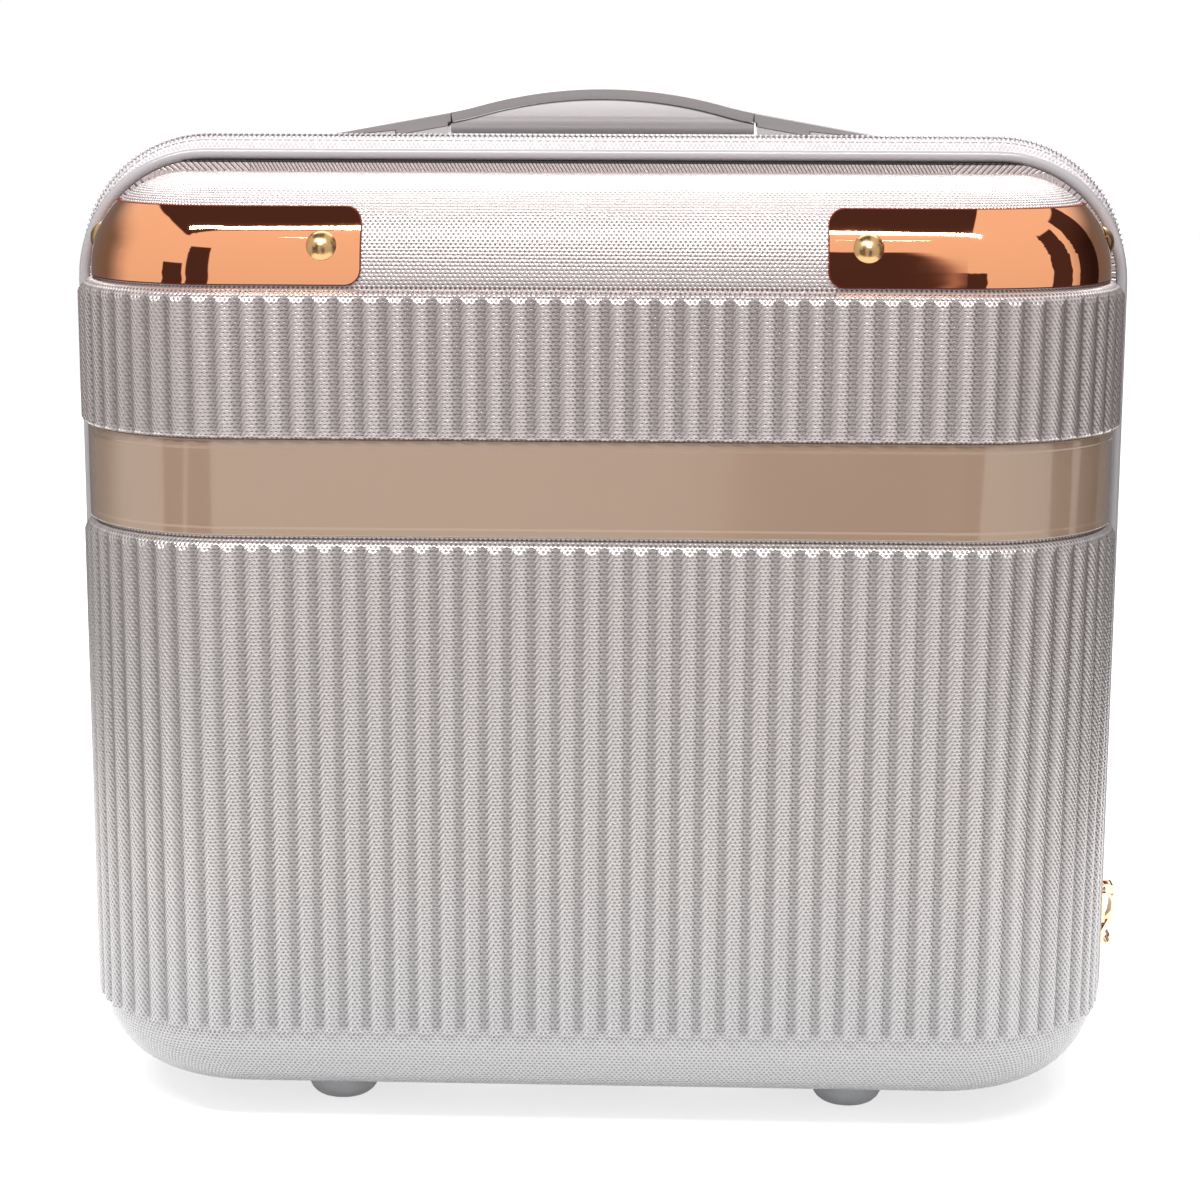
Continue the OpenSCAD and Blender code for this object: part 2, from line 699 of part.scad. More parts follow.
// Rigid glossy body under the middle of the strip
module handle_grip() {
    color("#a8a4a8") difference() {
        translate([-grip_len / 2, handle_y, grip_low]) rotate([90, 0, 90]) linear_extrude(grip_len)
            intersection() {
                translate([0, grip_w / 2 - grip_sink]) circle(grip_w / 2);
                translate([-grip_w / 2, 0]) square([grip_w, far]);
            }
        translate([0, handle_y + far / 2, 0]) rotate([90, 0, 0]) linear_extrude(far) over_grip();
    }
}
module over_grip() {
    ease_cut = (ease_r + strip_t + tail_seat) * sin(arch_turn);
    difference() {
        translate([-far / 2, grip_low - 5]) square([far, far]);
        translate([0, arch_z - arch_r]) circle(arch_r - strip_t - tail_seat);
        for (m = [0, 1]) mirror([m, 0]) difference() {
            translate([ease_x - ease_cut, 0]) square([ease_cut, far]);
            translate([ease_x, ease_z]) circle(ease_r + strip_t + tail_seat);
            translate([ease_x - ease_cut, ease_z]) square([ease_cut + 1, far]);
        }
    }
}

// Mount at one end of the strip: a wedge under the sleeve and the tongue, screwed to the shell
module handle_mount(side) {
    x0 = mount_span / 2 - mount_len;
    x1 = x0 + sleeve_len;
    x2 = mount_span / 2;
    color("#b3adb0") mirror([side < 0 ? 1 : 0, 0, 0]) difference() {
        across_handle(strip_w + 1)
            polygon([[x0, top_z + 0.02], [x2, top_z + 0.02], [x2, tail_top(x2) - 3],
                [x2 - 1.2, tail_top(x2) - 1], [tail_end, tail_top(tail_end) - tail_tip - tail_seat],
                [x1 + tail_seat, tail_top(x1) - tail_t - tail_seat],
                [x1 + tail_seat, tail_top(x1) - sleeve_t - tail_seat],
                [x0, tail_top(x0) - sleeve_t - tail_seat]]);
        for (e = [-1, 1]) translate([mount_span / 2 - mount_len / 2 + e * mount_len / 4, handle_y, top_z - 1])
            cylinder(h = screw_bite + 2, r = screw_r - 0.2);
    }
}
module handle_mount_left() { handle_mount(-1); }
module handle_mount_right() { handle_mount(1); }
module handle_screws() {
    color("#9a9a9e") at_back() each_mount_screw() {
        translate([0, 0, -1.4]) cylinder(h = 2.3, r = screw_r + 1.5);
        cylinder(h = wall + 1 + screw_bite, r = screw_r - 0.3);
    }
}

// Slider: two plates joined by a thin wedge between the rows of the coil, and two lugs
module zip_slider() {
    gap_in = coil_d / 2 + slider_play;
    in_x = slider_x - gap_in - 1.2 - plate_s;
    out_x = slider_x + gap_in;
    face_x = out_x + plate_s;
    color("#cf9478") {
        difference() {
            union() {
                for (x = [in_x, out_x]) translate([x, zip_y, slider_z]) rotate([0, 90, 0])
                    linear_extrude(plate_s) polygon(round_points(slider_len, 2 * slider_half, 2));
                translate([in_x + plate_s / 2, zip_y - coil_apart + 0.2, slider_z + slider_len / 2 - 6])
                    cube([out_x - in_x, 2 * coil_apart - 0.4, 5]);
                for (m = [-1, 1]) translate([0, zip_y + m * (eye_half + lug_gap + lug_w / 2), pivot_z])
                    rotate([90, 0, 0]) translate([0, 0, -lug_w / 2]) linear_extrude(lug_w) {
                        translate([face_x - 0.5, -eye_r]) square([pivot_x - face_x + 0.5, 2 * eye_r]);
                        translate([pivot_x, 0]) circle(eye_r);
                    }
            }
            translate([pivot_x, zip_y, pivot_z]) rotate([90, 0, 0])
                cylinder(h = 20, r = pull_pin - 0.05, center = true);
        }
        translate([pivot_x, zip_y, pivot_z]) rotate([90, 0, 0])
            cylinder(h = 2 * (eye_half + lug_gap + lug_w), r = pull_pin, center = true);
    }
}

// Band along an arc round the origin between two angles
module arc_band(r, t, a0, a1) {
    intersection() {
        difference() {
            circle(r + t / 2);
            circle(r - t / 2);
        }
        polygon(concat([[0, 0]], [for (k = [0:4]) let (a = a0 + (a1 - a0) * k / 4)
            3 * r * [cos(a), sin(a)]]));
    }
}

// Side view of the pull's blade, with the pivot at the origin
module blade_line() {
    lean = asin(bow_drop / bow_r);
    bow_x = bow_r * (1 - cos(asin(bow_rise / bow_r)));
    turn_r = 5;
    low_x = bow_x - bow_r * (1 - cos(lean));
    low_z1 = -bow_rise - bow_drop;
    run = 2.7;
    end_x = low_x - run * sin(lean);
    end_z = low_z1 - run * cos(lean);
    straight_x = end_x - turn_r * (1 - cos(lean));
    straight_z = end_z - turn_r * sin(lean);
    translate([bow_x - bow_r, -bow_rise]) arc_band(bow_r, blade_t, -lean, asin(bow_rise / bow_r));
    translate([low_x, low_z1]) rotate(-lean) translate([-blade_t / 2, -run - 0.02])
        square([blade_t, run + 0.04]);
    translate([straight_x + turn_r, straight_z]) arc_band(turn_r, blade_t, 180 - lean, 180);
    translate([straight_x - blade_t / 2, straight_z - 1.2]) square([blade_t, 1.2]);
    translate([straight_x + scroll_r, straight_z - 1.2]) {
        arc_band(scroll_r, blade_t, 180, 300);
        arc_band(scroll_r, blade_t, 299, 415);
    }
}

// Pull: an eye round the slider's pin and a curved blade that ends in a scroll
module zip_pull() {
    wide_from = -eye_r - 0.6;
    color("#cf9478") translate([pivot_x, zip_y, pivot_z]) rotate([90, 0, 0]) {
        translate([0, 0, -eye_half]) linear_extrude(2 * eye_half) difference() {
            union() {
                circle(eye_r);
                intersection() {
                    blade_line();
                    translate([-far / 2, wide_from - 1]) square([far, -wide_from + 1]);
                }
            }
            circle(pull_pin + pin_play);
        }
        translate([0, 0, -blade_half]) linear_extrude(2 * blade_half) intersection() {
            blade_line();
            translate([-far / 2, wide_from - far]) square([far, far]);
        }
    }
}

front_shell();
belt_trim();
corner_plate_left();
corner_plate_right();
plate_rivets();
front_piping();
front_zip_tape();
front_zip_coil();
front_lining();
lid_pocket();
front_feet();
front_foot_screws();
front_hinge_leaves();
front_hinge_rivets();
back_shell();
back_piping();
back_zip_tape();
back_zip_coil();
back_lining();
packing_straps();
back_feet();
back_foot_screws();
back_hinge_leaves();
back_hinge_rivets();
hinge_pins();
zip_stops();
handle_mount_left();
handle_mount_right();
handle_screws();
handle_grip();
handle_strip();
handle_tail_left();
handle_tail_right();
zip_slider();
zip_pull();
hinge_gusset();
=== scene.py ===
# %% [markdown]
# # A small reeded suitcase
# The solids of the case come from its source as a fixed frame, in metres. This notebook dresses them: it
# gives every piece its finish and adds what a solid can't show, such as zip teeth, stitches, a quilted lining
# and a folding gusset.

# %% Load the frame
import bmesh
import bpy
import math
from mathutils import Matrix, Vector


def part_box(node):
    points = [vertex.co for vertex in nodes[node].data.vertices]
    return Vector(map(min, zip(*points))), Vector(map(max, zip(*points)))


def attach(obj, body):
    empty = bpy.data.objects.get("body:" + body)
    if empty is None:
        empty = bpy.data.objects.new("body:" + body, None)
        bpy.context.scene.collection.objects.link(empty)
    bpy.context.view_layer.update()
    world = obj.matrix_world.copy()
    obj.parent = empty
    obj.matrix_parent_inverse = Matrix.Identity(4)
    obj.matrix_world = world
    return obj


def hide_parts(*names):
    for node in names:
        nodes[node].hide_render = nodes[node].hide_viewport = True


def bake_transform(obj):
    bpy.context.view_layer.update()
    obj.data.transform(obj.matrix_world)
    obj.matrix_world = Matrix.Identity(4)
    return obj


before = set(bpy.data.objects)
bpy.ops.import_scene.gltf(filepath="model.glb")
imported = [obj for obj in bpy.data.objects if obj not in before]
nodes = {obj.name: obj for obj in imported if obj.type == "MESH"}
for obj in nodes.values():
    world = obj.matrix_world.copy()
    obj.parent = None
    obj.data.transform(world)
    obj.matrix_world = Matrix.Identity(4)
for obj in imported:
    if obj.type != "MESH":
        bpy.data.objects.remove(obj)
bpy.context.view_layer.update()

# %% [markdown]
# ## Camera
# The photograph was taken from a little above, with the case turned slightly, through a long lens. The place
# and the turn of the camera follow from lines that run along the edges of the case. A camera could be aimed
# with a Track To constraint, but a rotation built from its three directions says exactly where it looks.

# %% Camera
pitch, yaw, roll = 0.1948, 0.0378, -0.0028
ahead = Vector((-math.sin(yaw) * math.cos(pitch), math.cos(yaw) * math.cos(pitch), -math.sin(pitch)))
level = Vector((math.cos(yaw), math.sin(yaw), 0))
upward = level.cross(ahead)
right = level * math.cos(roll) - upward * math.sin(roll)
above = upward * math.cos(roll) + level * math.sin(roll)
camera_data = bpy.data.cameras.new("camera")
camera_data.sensor_width = 36
picture_px, focal_px, centre_right_px, centre_up_px = 1200, 2768.4, 19.9, 8.7
camera_data.lens = 36 * focal_px / picture_px
camera_data.shift_x = centre_right_px / picture_px
camera_data.shift_y = centre_up_px / picture_px
camera_data.clip_start = 0.05
camera = bpy.data.objects.new("camera", camera_data)
bpy.context.collection.objects.link(camera)
turned_to = Matrix((right, above, -ahead)).transposed().to_4x4()
camera.matrix_world = Matrix.Translation((0.0276, -0.9123, 0.3349)) @ turned_to
bpy.context.scene.camera = camera
print("camera lens", round(camera_data.lens, 1), "mm")

# %% [markdown]
# ## Sizes of the case
# The finishes and the new pieces need a few sizes of the solids. They are read from the frame's nodes where a
# node shows them, so that a piece stays on what carries it when the solids change.

# %% Sizes
mm = 0.001
case_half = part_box("front_shell")[1][0]
face_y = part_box("front_shell")[0][1]
front_rim_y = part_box("front_shell")[1][1]
back_rim_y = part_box("back_shell")[0][1]
rim_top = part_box("front_shell")[1][2]
zip_y = (front_rim_y + back_rim_y) / 2
corner_r = 54 * mm
flat_half = case_half - corner_r
cap_inset = 5.2 * mm
rim_rise = 3.5 * mm
cap_top = rim_top - rim_rise
roll_r = 30 * mm
rib_pitch = 7.4 * mm
rib_low, belt_low, belt_top, rib_top = 35 * mm, 193 * mm, 222.9 * mm, 268.5 * mm
belt_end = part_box("belt_trim")[1][1]
tail_turn = math.radians(10.2)
print("half width", round(case_half, 4), "rim top", round(rim_top, 4), "zip", round(zip_y, 4))

# %% [markdown]
# ## Maths in materials
# A material's pattern is arithmetic on coordinates. Wiring dozens of Math nodes by hand hides the formula, so
# a small class wraps a socket and turns Python's operators into nodes. One method adds any other node.

# %% Shader maths
class Shade:
    """A socket in a material's node tree that can be used in sums."""

    def __init__(self, tree, socket):
        self.tree, self.socket = tree, socket

    def node(self, kind, settings=None, outlet=0, **sockets):
        """Adds a node and gives its inputs values or links, by name or as i0, i1 and so on by number."""
        node = self.tree.nodes.new(kind)
        for key, value in (settings or {}).items():
            if key == "stops":
                while len(node.color_ramp.elements) < len(value):
                    node.color_ramp.elements.new(0.5)
                for stop, (place, colour) in zip(node.color_ramp.elements, value):
                    stop.position, stop.color = place, colour
            else:
                setattr(node, key, value)
        for key, value in sockets.items():
            put(node.inputs[int(key[1:])] if key[1:].isdigit() else node.inputs[key.replace("_", " ")], value)
        return Shade(self.tree, node.outputs[outlet])

    def maths(self, operation, *others):
        values = {f"i{k}": value for k, value in enumerate((self, *others))}
        return self.node("ShaderNodeMath", {"operation": operation}, **values)

    def __add__(self, other): return self.maths("ADD", other)
    def __radd__(self, other): return self.maths("ADD", other)
    def __sub__(self, other): return self.maths("SUBTRACT", other)
    def __rsub__(self, other): return self.maths("MULTIPLY_ADD", -1, other)
    def __mul__(self, other): return self.maths("MULTIPLY", other)
    def __rmul__(self, other): return self.maths("MULTIPLY", other)
    def __pow__(self, other): return self.maths("POWER", other)
    def sin(self): return self.maths("SINE")
    def cos(self): return self.maths("COSINE")
    def abs(self): return self.maths("ABSOLUTE")
    def most(self, other): return self.maths("MAXIMUM", other)
    def least(self, other): return self.maths("MINIMUM", other)
    def above(self, other): return self.maths("GREATER_THAN", other)
    def smooth(self, low, high):
        return self.node("ShaderNodeMapRange", {"interpolation_type": "SMOOTHSTEP"}, Value=self,
                         From_Min=low, From_Max=high)

    def axes(self):
        """The three coordinates of a place."""
        node = self.tree.nodes.new("ShaderNodeSeparateXYZ")
        put(node.inputs[0], self)
        return [Shade(self.tree, output) for output in node.outputs]


def put(socket, value):
    """Gives a socket a value or a link."""
    if isinstance(value, Shade):
        socket.id_data.links.new(value.socket, socket)
    else:
        socket.default_value = value


def source(tree, kind, outlet):
    """A socket of a new node that has nothing before it."""
    return Shade(tree, tree.nodes.new(kind).outputs[outlet])


def colour_mix(factor, first, second):
    """Mixes two colours by a factor."""
    return factor.node("ShaderNodeMix", {"data_type": "RGBA"}, 2, i0=factor, i6=first, i7=second)


def finish(name, base, metallic=0.0, roughness=0.5, pattern=None, **fixed):
    """A material with fixed values; pattern(place, surface) may link what varies."""
    material = bpy.data.materials.new(name)
    material.use_nodes = True
    tree = material.node_tree
    surface = tree.nodes["Principled BSDF"]
    surface.inputs["Base Color"].default_value = (*base, 1)
    surface.inputs["Metallic"].default_value = metallic
    surface.inputs["Roughness"].default_value = roughness
    for key, value in fixed.items():
        surface.inputs[key.replace("_", " ")].default_value = value
    if pattern:
        pattern(source(tree, "ShaderNodeTexCoord", "Object"), surface)
    return material


def bump(height, surface, distance, strength=1.0):
    """Lays a height on the surface as a bump; a height of 1 stands the distance out."""
    relief = height.node("ShaderNodeBump", Height=height, Distance=distance, Strength=strength)
    put(surface.inputs["Normal"], relief)


def noise(place, scale, detail=2.0):
    """Soft noise between 0 and 1."""
    return place.node("ShaderNodeTexNoise", Vector=place, Scale=scale, Detail=detail)


print("shader maths ready")

# %% [markdown]
# ## The shell's embossed skin
# The shells are formed from sheet with rows of fine embossed dots, about 1.5 mm apart, under a pearly
# lacquer. A flat pattern would stretch on the corners, so the shader works out how far a point lies along the
# skin: across the face, round the corner and along the side, and then up the wall and over the roll of the
# cap. On the flat top the dots lie in straight rows again. The ribs stretch the sheet, so that their flanks
# and the corners show a slanted twill. The raised rim has a cord emboss instead, and a painted shadow line
# where the piping sits on it. The colour holds painted light: the raised emboss is lighter, the valleys
# between the ribs are darkened as painted shade, and the brightness from the feet up to the cap is partly
# painted light.

# %% Shell skin
def along_skin(place, back):
    """Metres along the skin of a shell: round the case, up over the cap, and straight in over the top."""
    x, y, z = place.axes()
    if back:
        y = 0 - y
    depth = 0 - y - (-face_y - corner_r)
    aside = (x.abs() - flat_half).most(0)
    turned = aside.above(1e-5)
    forward = depth.most(0)
    turn = aside.maths("ARCTAN2", forward + 1e-6)
    round_case = x.abs().least(flat_half) + turn * corner_r + (0 - depth).most(0) * turned
    out = (aside * aside + forward * forward).maths("SQRT") * turned + depth * (1 - turned)
    roll_z, roll_out = cap_top - roll_r, corner_r - cap_inset - roll_r
    rolled = (z - roll_z).most(0).maths("ARCTAN2", (out - roll_out).most(1e-6))
    up = z.least(roll_z) + rolled * roll_r + (roll_out - out).most(0) * z.above(roll_z + 0.8 * roll_r)
    inward = roll_z + roll_r * math.pi / 2 + roll_out - depth
    return round_case, up, inward


def lattice(across, over):
    """Centred dots, in rows."""
    return 0.5 - ((across * 2).cos() * (over * 2).cos() + 0.6 * (over * 4).cos()) * 0.31


emboss_w, emboss_h, emboss_deep = 1.48 * mm, 2.20 * mm, 0.28 * mm
# Black of the painted shadow line under the piping.
painted_shadow_black = (0.012, 0.012, 0.014, 1)


def shell_skin(back):
    """Embossed skin of a shell, with painted light; the deep and the pale tone each change from the feet up
    to the cap.
    """
    def pattern(place, surface):
        u, v, inward = along_skin(place, back)
        x, _, z = place.axes()
        # Where the ribs run, and the valleys between them, which are darkened as painted shade.
        cornered = u.smooth(flat_half, flat_half + 25 * mm)
        u = u * x.maths("SIGN")
        round_rib = u * (2 * math.pi / rib_pitch)
        valley = 0.5 - 0.5 * round_rib.cos()
        ribbed = (z.smooth(rib_low - 1 * mm, rib_low + 3 * mm) * (1 - z.smooth(belt_low - 4 * mm, belt_low))
                  + z.smooth(belt_top, belt_top + 3 * mm) * (1 - z.smooth(rib_top - 5 * mm, rib_top)))
        painted_valley_shade = valley * valley * ribbed
        # The emboss: dots, with twill on the flanks and corners of the ribs, and cord on the rim.
        rim = z.above(cap_top + 0.1 * mm)
        # Painted shadow: a black, matte line under the piping along the rim.
        painted_piping_shadow = z.above(rim_top - 0.8 * mm)
        v = v + rim * (z - cap_top)
        across, over = u * (math.pi / emboss_w), v * (math.pi / emboss_h)
        level = z.smooth(cap_top - 5 * mm, cap_top - 0.8 * mm)
        dots = (lattice(across, over) * (1 - level)
                + lattice(x * (math.pi / emboss_w), inward * (math.pi / emboss_h)) * level)
        twill = 0.2 + 0.5 * (across - over).sin().abs()
        slanted = 0.2 + 0.5 * (across + over).sin().abs()
        flank = 0.8 * ribbed * (0 - round_rib.sin()).smooth(0.35, 1.0) * (1 - cornered)
        bent = 0.65 * ribbed * cornered
        cord = 0.8 * (across * 1.25 + over * 1.1).sin().abs()
        emboss = (dots * (1 - flank - bent) + twill * flank + slanted * bent) * (1 - rim) + cord * rim
        # The tones: cool grey at the feet, warmer and further apart towards the cap; their brightness by
        # height is partly painted light.
        cloud = noise(place, 7, 3).smooth(0.3, 0.7)
        grain = noise(place, 1100, 2)
        warmth_and_painted_light, high = z.smooth(0.0, 0.12), z.smooth(0.12, 0.31)
        deep = colour_mix(warmth_and_painted_light, (0.20, 0.20, 0.202, 1), (0.19, 0.177, 0.174, 1))
        deep = colour_mix(high, deep, (0.13, 0.110, 0.110, 1))
        pale = colour_mix(warmth_and_painted_light, (0.455, 0.455, 0.46, 1), (0.52, 0.49, 0.48, 1))
        pale = colour_mix(high, pale, (0.62, 0.542, 0.532, 1))
        # Painted light: the raised emboss is lighter and the valleys darker, over the skin's own grain and
        # cloud.
        painted_light_and_grain = emboss * (1.6 + rim) - 0.15 - 0.4 * rim + 0.18 * grain + 0.08 * cloud - 0.15 * painted_valley_shade
        painted_light_and_grain = painted_light_and_grain.smooth(0.0, 1.0)
        skin = colour_mix(painted_valley_shade * 0.55, colour_mix(painted_light_and_grain, deep, pale), deep)
        put(surface.inputs["Base Color"], colour_mix(painted_piping_shadow, skin, painted_shadow_black))
        put(surface.inputs["Metallic"], 0.62 * (1 - painted_piping_shadow))
        put(surface.inputs["Roughness"], 0.30 - 0.07 * emboss + 0.05 * grain + 0.3 * painted_piping_shadow)
        bump(emboss + grain * 0.2, surface, emboss_deep)
    return pattern


pearl = {"base": (0.64, 0.60, 0.61), "metallic": 0.62, "roughness": 0.36, "Coat_Weight": 0.2,
         "Coat_Roughness": 0.22}
shell_front = finish("shell_front", pattern=shell_skin(back=False), **pearl)
shell_back = finish("shell_back", pattern=shell_skin(back=True), **pearl)
print("skin of the shells ready")

# %% [markdown]
# ## Metal and plastic
# The other hard finishes are simpler: mirror copper, satin brass, rose gold, glossy trim and soft plastic.
# Each has a faint unevenness, because a perfectly even surface looks computed. The grip is moulded to the
# strip above it, which runs over one wide arc and eases out at both ends; a painted shadow line along the gap
# between the two follows the same arcs.

# %% Hard finishes
def worn(amount, size):
    """Faint unevenness in the gloss and the colour of a hard surface."""
    shade = 0.06

    def pattern(place, surface):
        spots = noise(place, size, 3)
        base = surface.inputs["Base Color"].default_value[:3]
        darker = (*[c * (1 - shade) for c in base], 1)
        lighter = (*[min(1, c * (1 + shade)) for c in base], 1)
        put(surface.inputs["Base Color"], colour_mix(spots, darker, lighter))
        put(surface.inputs["Roughness"], surface.inputs["Roughness"].default_value + amount * (spots - 0.5))
    return pattern


def ripple(depth, size):
    """A faint waviness, as thin plated trim has."""
    def pattern(place, surface):
        smudge = noise(place, size * 5, 3).smooth(0.45, 0.75)
        put(surface.inputs["Roughness"], surface.inputs["Roughness"].default_value + 0.02 * smudge)
        bump(noise(place, size, 1), surface, depth, 0.6)
    return pattern


def moulded(size, depth):
    """Fine spark-eroded grain of moulded plastic."""
    def pattern(place, surface):
        grain = noise(place, size, 2)
        put(surface.inputs["Roughness"], surface.inputs["Roughness"].default_value + 0.15 * (grain - 0.5))
        bump(grain, surface, depth)
    return pattern


champagne = (0.35, 0.245, 0.175)


def lipped(place, surface):
    """Glossy band with a low rounded lip along its upper and lower edges and at its ends, where a painted
    highlight makes it paler.
    """
    _, y, z = place.axes()
    lip, inner_lip = 2.2 * mm, 3.2 * mm
    end_lip_and_highlight = y.smooth(belt_end - 4.5 * mm, belt_end - 3.5 * mm)
    # Painted highlight: the ends of the belt are paler; the same mask raises a lip there.
    put(surface.inputs["Base Color"], colour_mix(end_lip_and_highlight, (*champagne, 1), (0.62, 0.49, 0.38, 1)))
    lips = z.smooth(belt_top - inner_lip, belt_top - lip) + 1 - z.smooth(belt_low + lip, belt_low + inner_lip)
    smudge = noise(place, 40, 3).smooth(0.45, 0.75)
    put(surface.inputs["Roughness"], 0.13 + 0.04 * smudge)
    bump(lips.most(end_lip_and_highlight) + 0.5 * noise(place, 8, 1), surface, 0.0004, 0.8)


arch_r, arch_half, arch_top, strip_t, grip_half = 150 * mm, 40 * mm, 326.4 * mm, 3 * mm, 49 * mm
arch_turn, arch_low = math.asin(arch_half / arch_r), arch_top - arch_r
ease_r = (grip_half - arch_half) / (math.sin(arch_turn) - math.sin(tail_turn))
ease_x = (arch_r + ease_r) * math.sin(arch_turn)
ease_z = arch_low + (arch_r + ease_r) * math.cos(arch_turn)
pale_grip = (0.62, 0.59, 0.595)


def grip_gap_shading(place, surface):
    """Glossy grip with a painted shadow line in the gap under the strip, which runs over three arcs."""
    x, _, z = place.axes()
    aside = x.abs()
    under_arch = arch_r - strip_t - (x * x + (z - arch_low) ** 2).maths("SQRT")
    under_ease = ((aside - ease_x) ** 2 + (z - ease_z) ** 2).maths("SQRT") - ease_r - strip_t
    under = under_arch.most(0) * (1 - aside.above(arch_half)) + under_ease.most(0) * aside.above(arch_half)
    # Painted shade: the gap under the strip is coloured near-black and rougher.
    painted_gap_shade = under.smooth(0.35 * mm, 0.75 * mm)
    put(surface.inputs["Base Color"], colour_mix(painted_gap_shade, (0.05, 0.045, 0.055, 1), (*pale_grip, 1)))
    put(surface.inputs["Roughness"], 0.5 - 0.32 * painted_gap_shade)


copper = finish("mirror_copper", (1.0, 0.44, 0.22), 1.0, 0.03, ripple(0.04 * mm, 12))
brass = finish("satin_brass", (0.60, 0.38, 0.18), 1.0, 0.26, worn(0.15, 400))
# Dark matte red on the plates' rolled edges and walls: partly the edge's colour, partly painted shade of the
# gap.
copper_edge_shade = finish("copper_edge_shade", (0.17, 0.032, 0.022), 0.0, 0.6, Specular_IOR_Level=0.0)
rose = finish("rose_gold", (1.0, 0.66, 0.45), 1.0, 0.08, worn(0.06, 200))
belt = finish("champagne_trim", champagne, 0.15, 0.14, lipped, Coat_Weight=1.0, Coat_Roughness=0.05)
# Painted highlight: a paler champagne on the belt's rounded edges and end walls.
belt_edge_highlight = finish("champagne_edge_highlight", (0.50, 0.38, 0.28), 0.3, 0.12, Coat_Weight=1.0, Coat_Roughness=0.05)
foot = finish("foot_plastic", (0.50, 0.51, 0.53), 0.0, 0.48, moulded(900, 0.08 * mm))
steel = finish("plated_steel", (0.60, 0.60, 0.61), 1.0, 0.30, worn(0.15, 300))
mount = finish("handle_mount", (0.50, 0.475, 0.475), 0.25, 0.28, worn(0.08, 120),
               Coat_Weight=0.5, Coat_Roughness=0.12)
grip = finish("handle_grip", pale_grip, 0.25, 0.18, grip_gap_shading, Coat_Weight=1.0, Coat_Roughness=0.06)
strip = finish("soft_strip", (0.245, 0.227, 0.227), 0.0, 0.50, moulded(1200, 0.06 * mm))
welt = finish("welt_vinyl", (0.37, 0.352, 0.364), 0.0, 0.34, moulded(700, 0.05 * mm),
              Coat_Weight=0.4, Coat_Roughness=0.15)
nylon = finish("coil_nylon", (0.42, 0.39, 0.40), 0.0, 0.32, worn(0.1, 500))
print("hard finishes ready")

# %% [markdown]
# ## Cloth
# Cloth is a weave: threads that go over and under each other. Two sine waves across each other give the
# height of the threads, and a little noise keeps the yarn from looking printed. The pieces that are carried
# round the case know how far along they lie, in an attribute that is made with them, so that their weave
# follows the bend.

# %% Cloth finishes
def woven(pitch, dark, light, depth=0.12 * mm, carried=False):
    """Plain weave; carried pieces weave along their own run."""
    def pattern(place, surface):
        x, y, z = place.axes()
        along = place.node("ShaderNodeAttribute", {"attribute_name": "run"}, 2) if carried else x + z
        cross = y if carried else z - x
        k = math.pi / pitch
        weave = (along * k).sin() * (cross * k).sin()
        yarn = noise(place, 500, 3)
        fade = noise(place, 25, 2)
        paleness = (weave * 0.3 + yarn * 0.6 + fade * 0.3).smooth(0.1, 0.9)
        put(surface.inputs["Base Color"], colour_mix(paleness, (*dark, 1), (*light, 1)))
        bump(weave + yarn * 0.5, surface, depth)
    return pattern


tape = finish("zip_tape", (0.66, 0.62, 0.63), 0.0, 0.8,
              woven(0.7 * mm, (0.52, 0.48, 0.49), (0.80, 0.77, 0.78), carried=True))
# Painted shade: the filler cord is near-black, for the shade in the gaps between the turns.
cord_core_shade = finish("zip_cord_shade", (0.08, 0.07, 0.07), 0.0, 0.8,
                   woven(0.6 * mm, (0.04, 0.035, 0.035), (0.12, 0.105, 0.105), carried=True))
gusset_cloth = finish("gusset_cloth", (0.40, 0.36, 0.38), 0.0, 0.8,
                      woven(0.9 * mm, (0.33, 0.30, 0.32), (0.48, 0.44, 0.46), carried=True))
lining = finish("lining_cloth", (0.55, 0.50, 0.53), 0.0, 0.6,
                woven(0.9 * mm, (0.46, 0.41, 0.44), (0.60, 0.55, 0.58)), Sheen_Weight=0.3)
elastic = finish("elastic_web", (0.22, 0.20, 0.22), 0.0, 0.85,
                 woven(1.4 * mm, (0.14, 0.13, 0.14), (0.30, 0.28, 0.30), 0.3 * mm))
thread = finish("thread", (0.62, 0.58, 0.60), 0.0, 0.6, worn(0.1, 900))
print("cloth finishes ready")

# %% [markdown]
# ## Dressing the solids
# The solids whose shape is already right only need their finish, which goes into their material slots.

# %% Dress the solids
dressed = {
    "front_shell": shell_front, "back_shell": shell_back, "belt_trim": belt, "corner_plate_left": copper,
    "corner_plate_right": copper, "plate_rivets": brass, "front_piping": welt, "back_piping": welt,
    "front_feet": foot, "back_feet": foot, "front_foot_screws": steel, "back_foot_screws": steel,
    "front_hinge_leaves": steel, "back_hinge_leaves": steel, "front_hinge_rivets": steel,
    "back_hinge_rivets": steel, "hinge_pins": steel, "zip_stops": rose,
    "handle_mount_left": mount, "handle_mount_right": mount,
    "handle_screws": steel, "handle_grip": grip, "handle_strip": strip, "zip_slider": rose, "zip_pull": rose,
    "front_zip_tape": tape, "back_zip_tape": tape, "front_zip_coil": nylon, "back_zip_coil": nylon,
    "front_lining": lining, "back_lining": lining, "lid_pocket": lining, "packing_straps": elastic,
    "handle_tail_left": strip, "handle_tail_right": strip, "hinge_gusset": gusset_cloth,
}
for name, material in dressed.items():
    slots = nodes[name].material_slots
    for slot in slots:
        slot.material = material
    if not slots:
        nodes[name].data.materials.append(material)
print("finishes on", len(dressed), "nodes; without:", sorted(set(nodes) - set(dressed)))

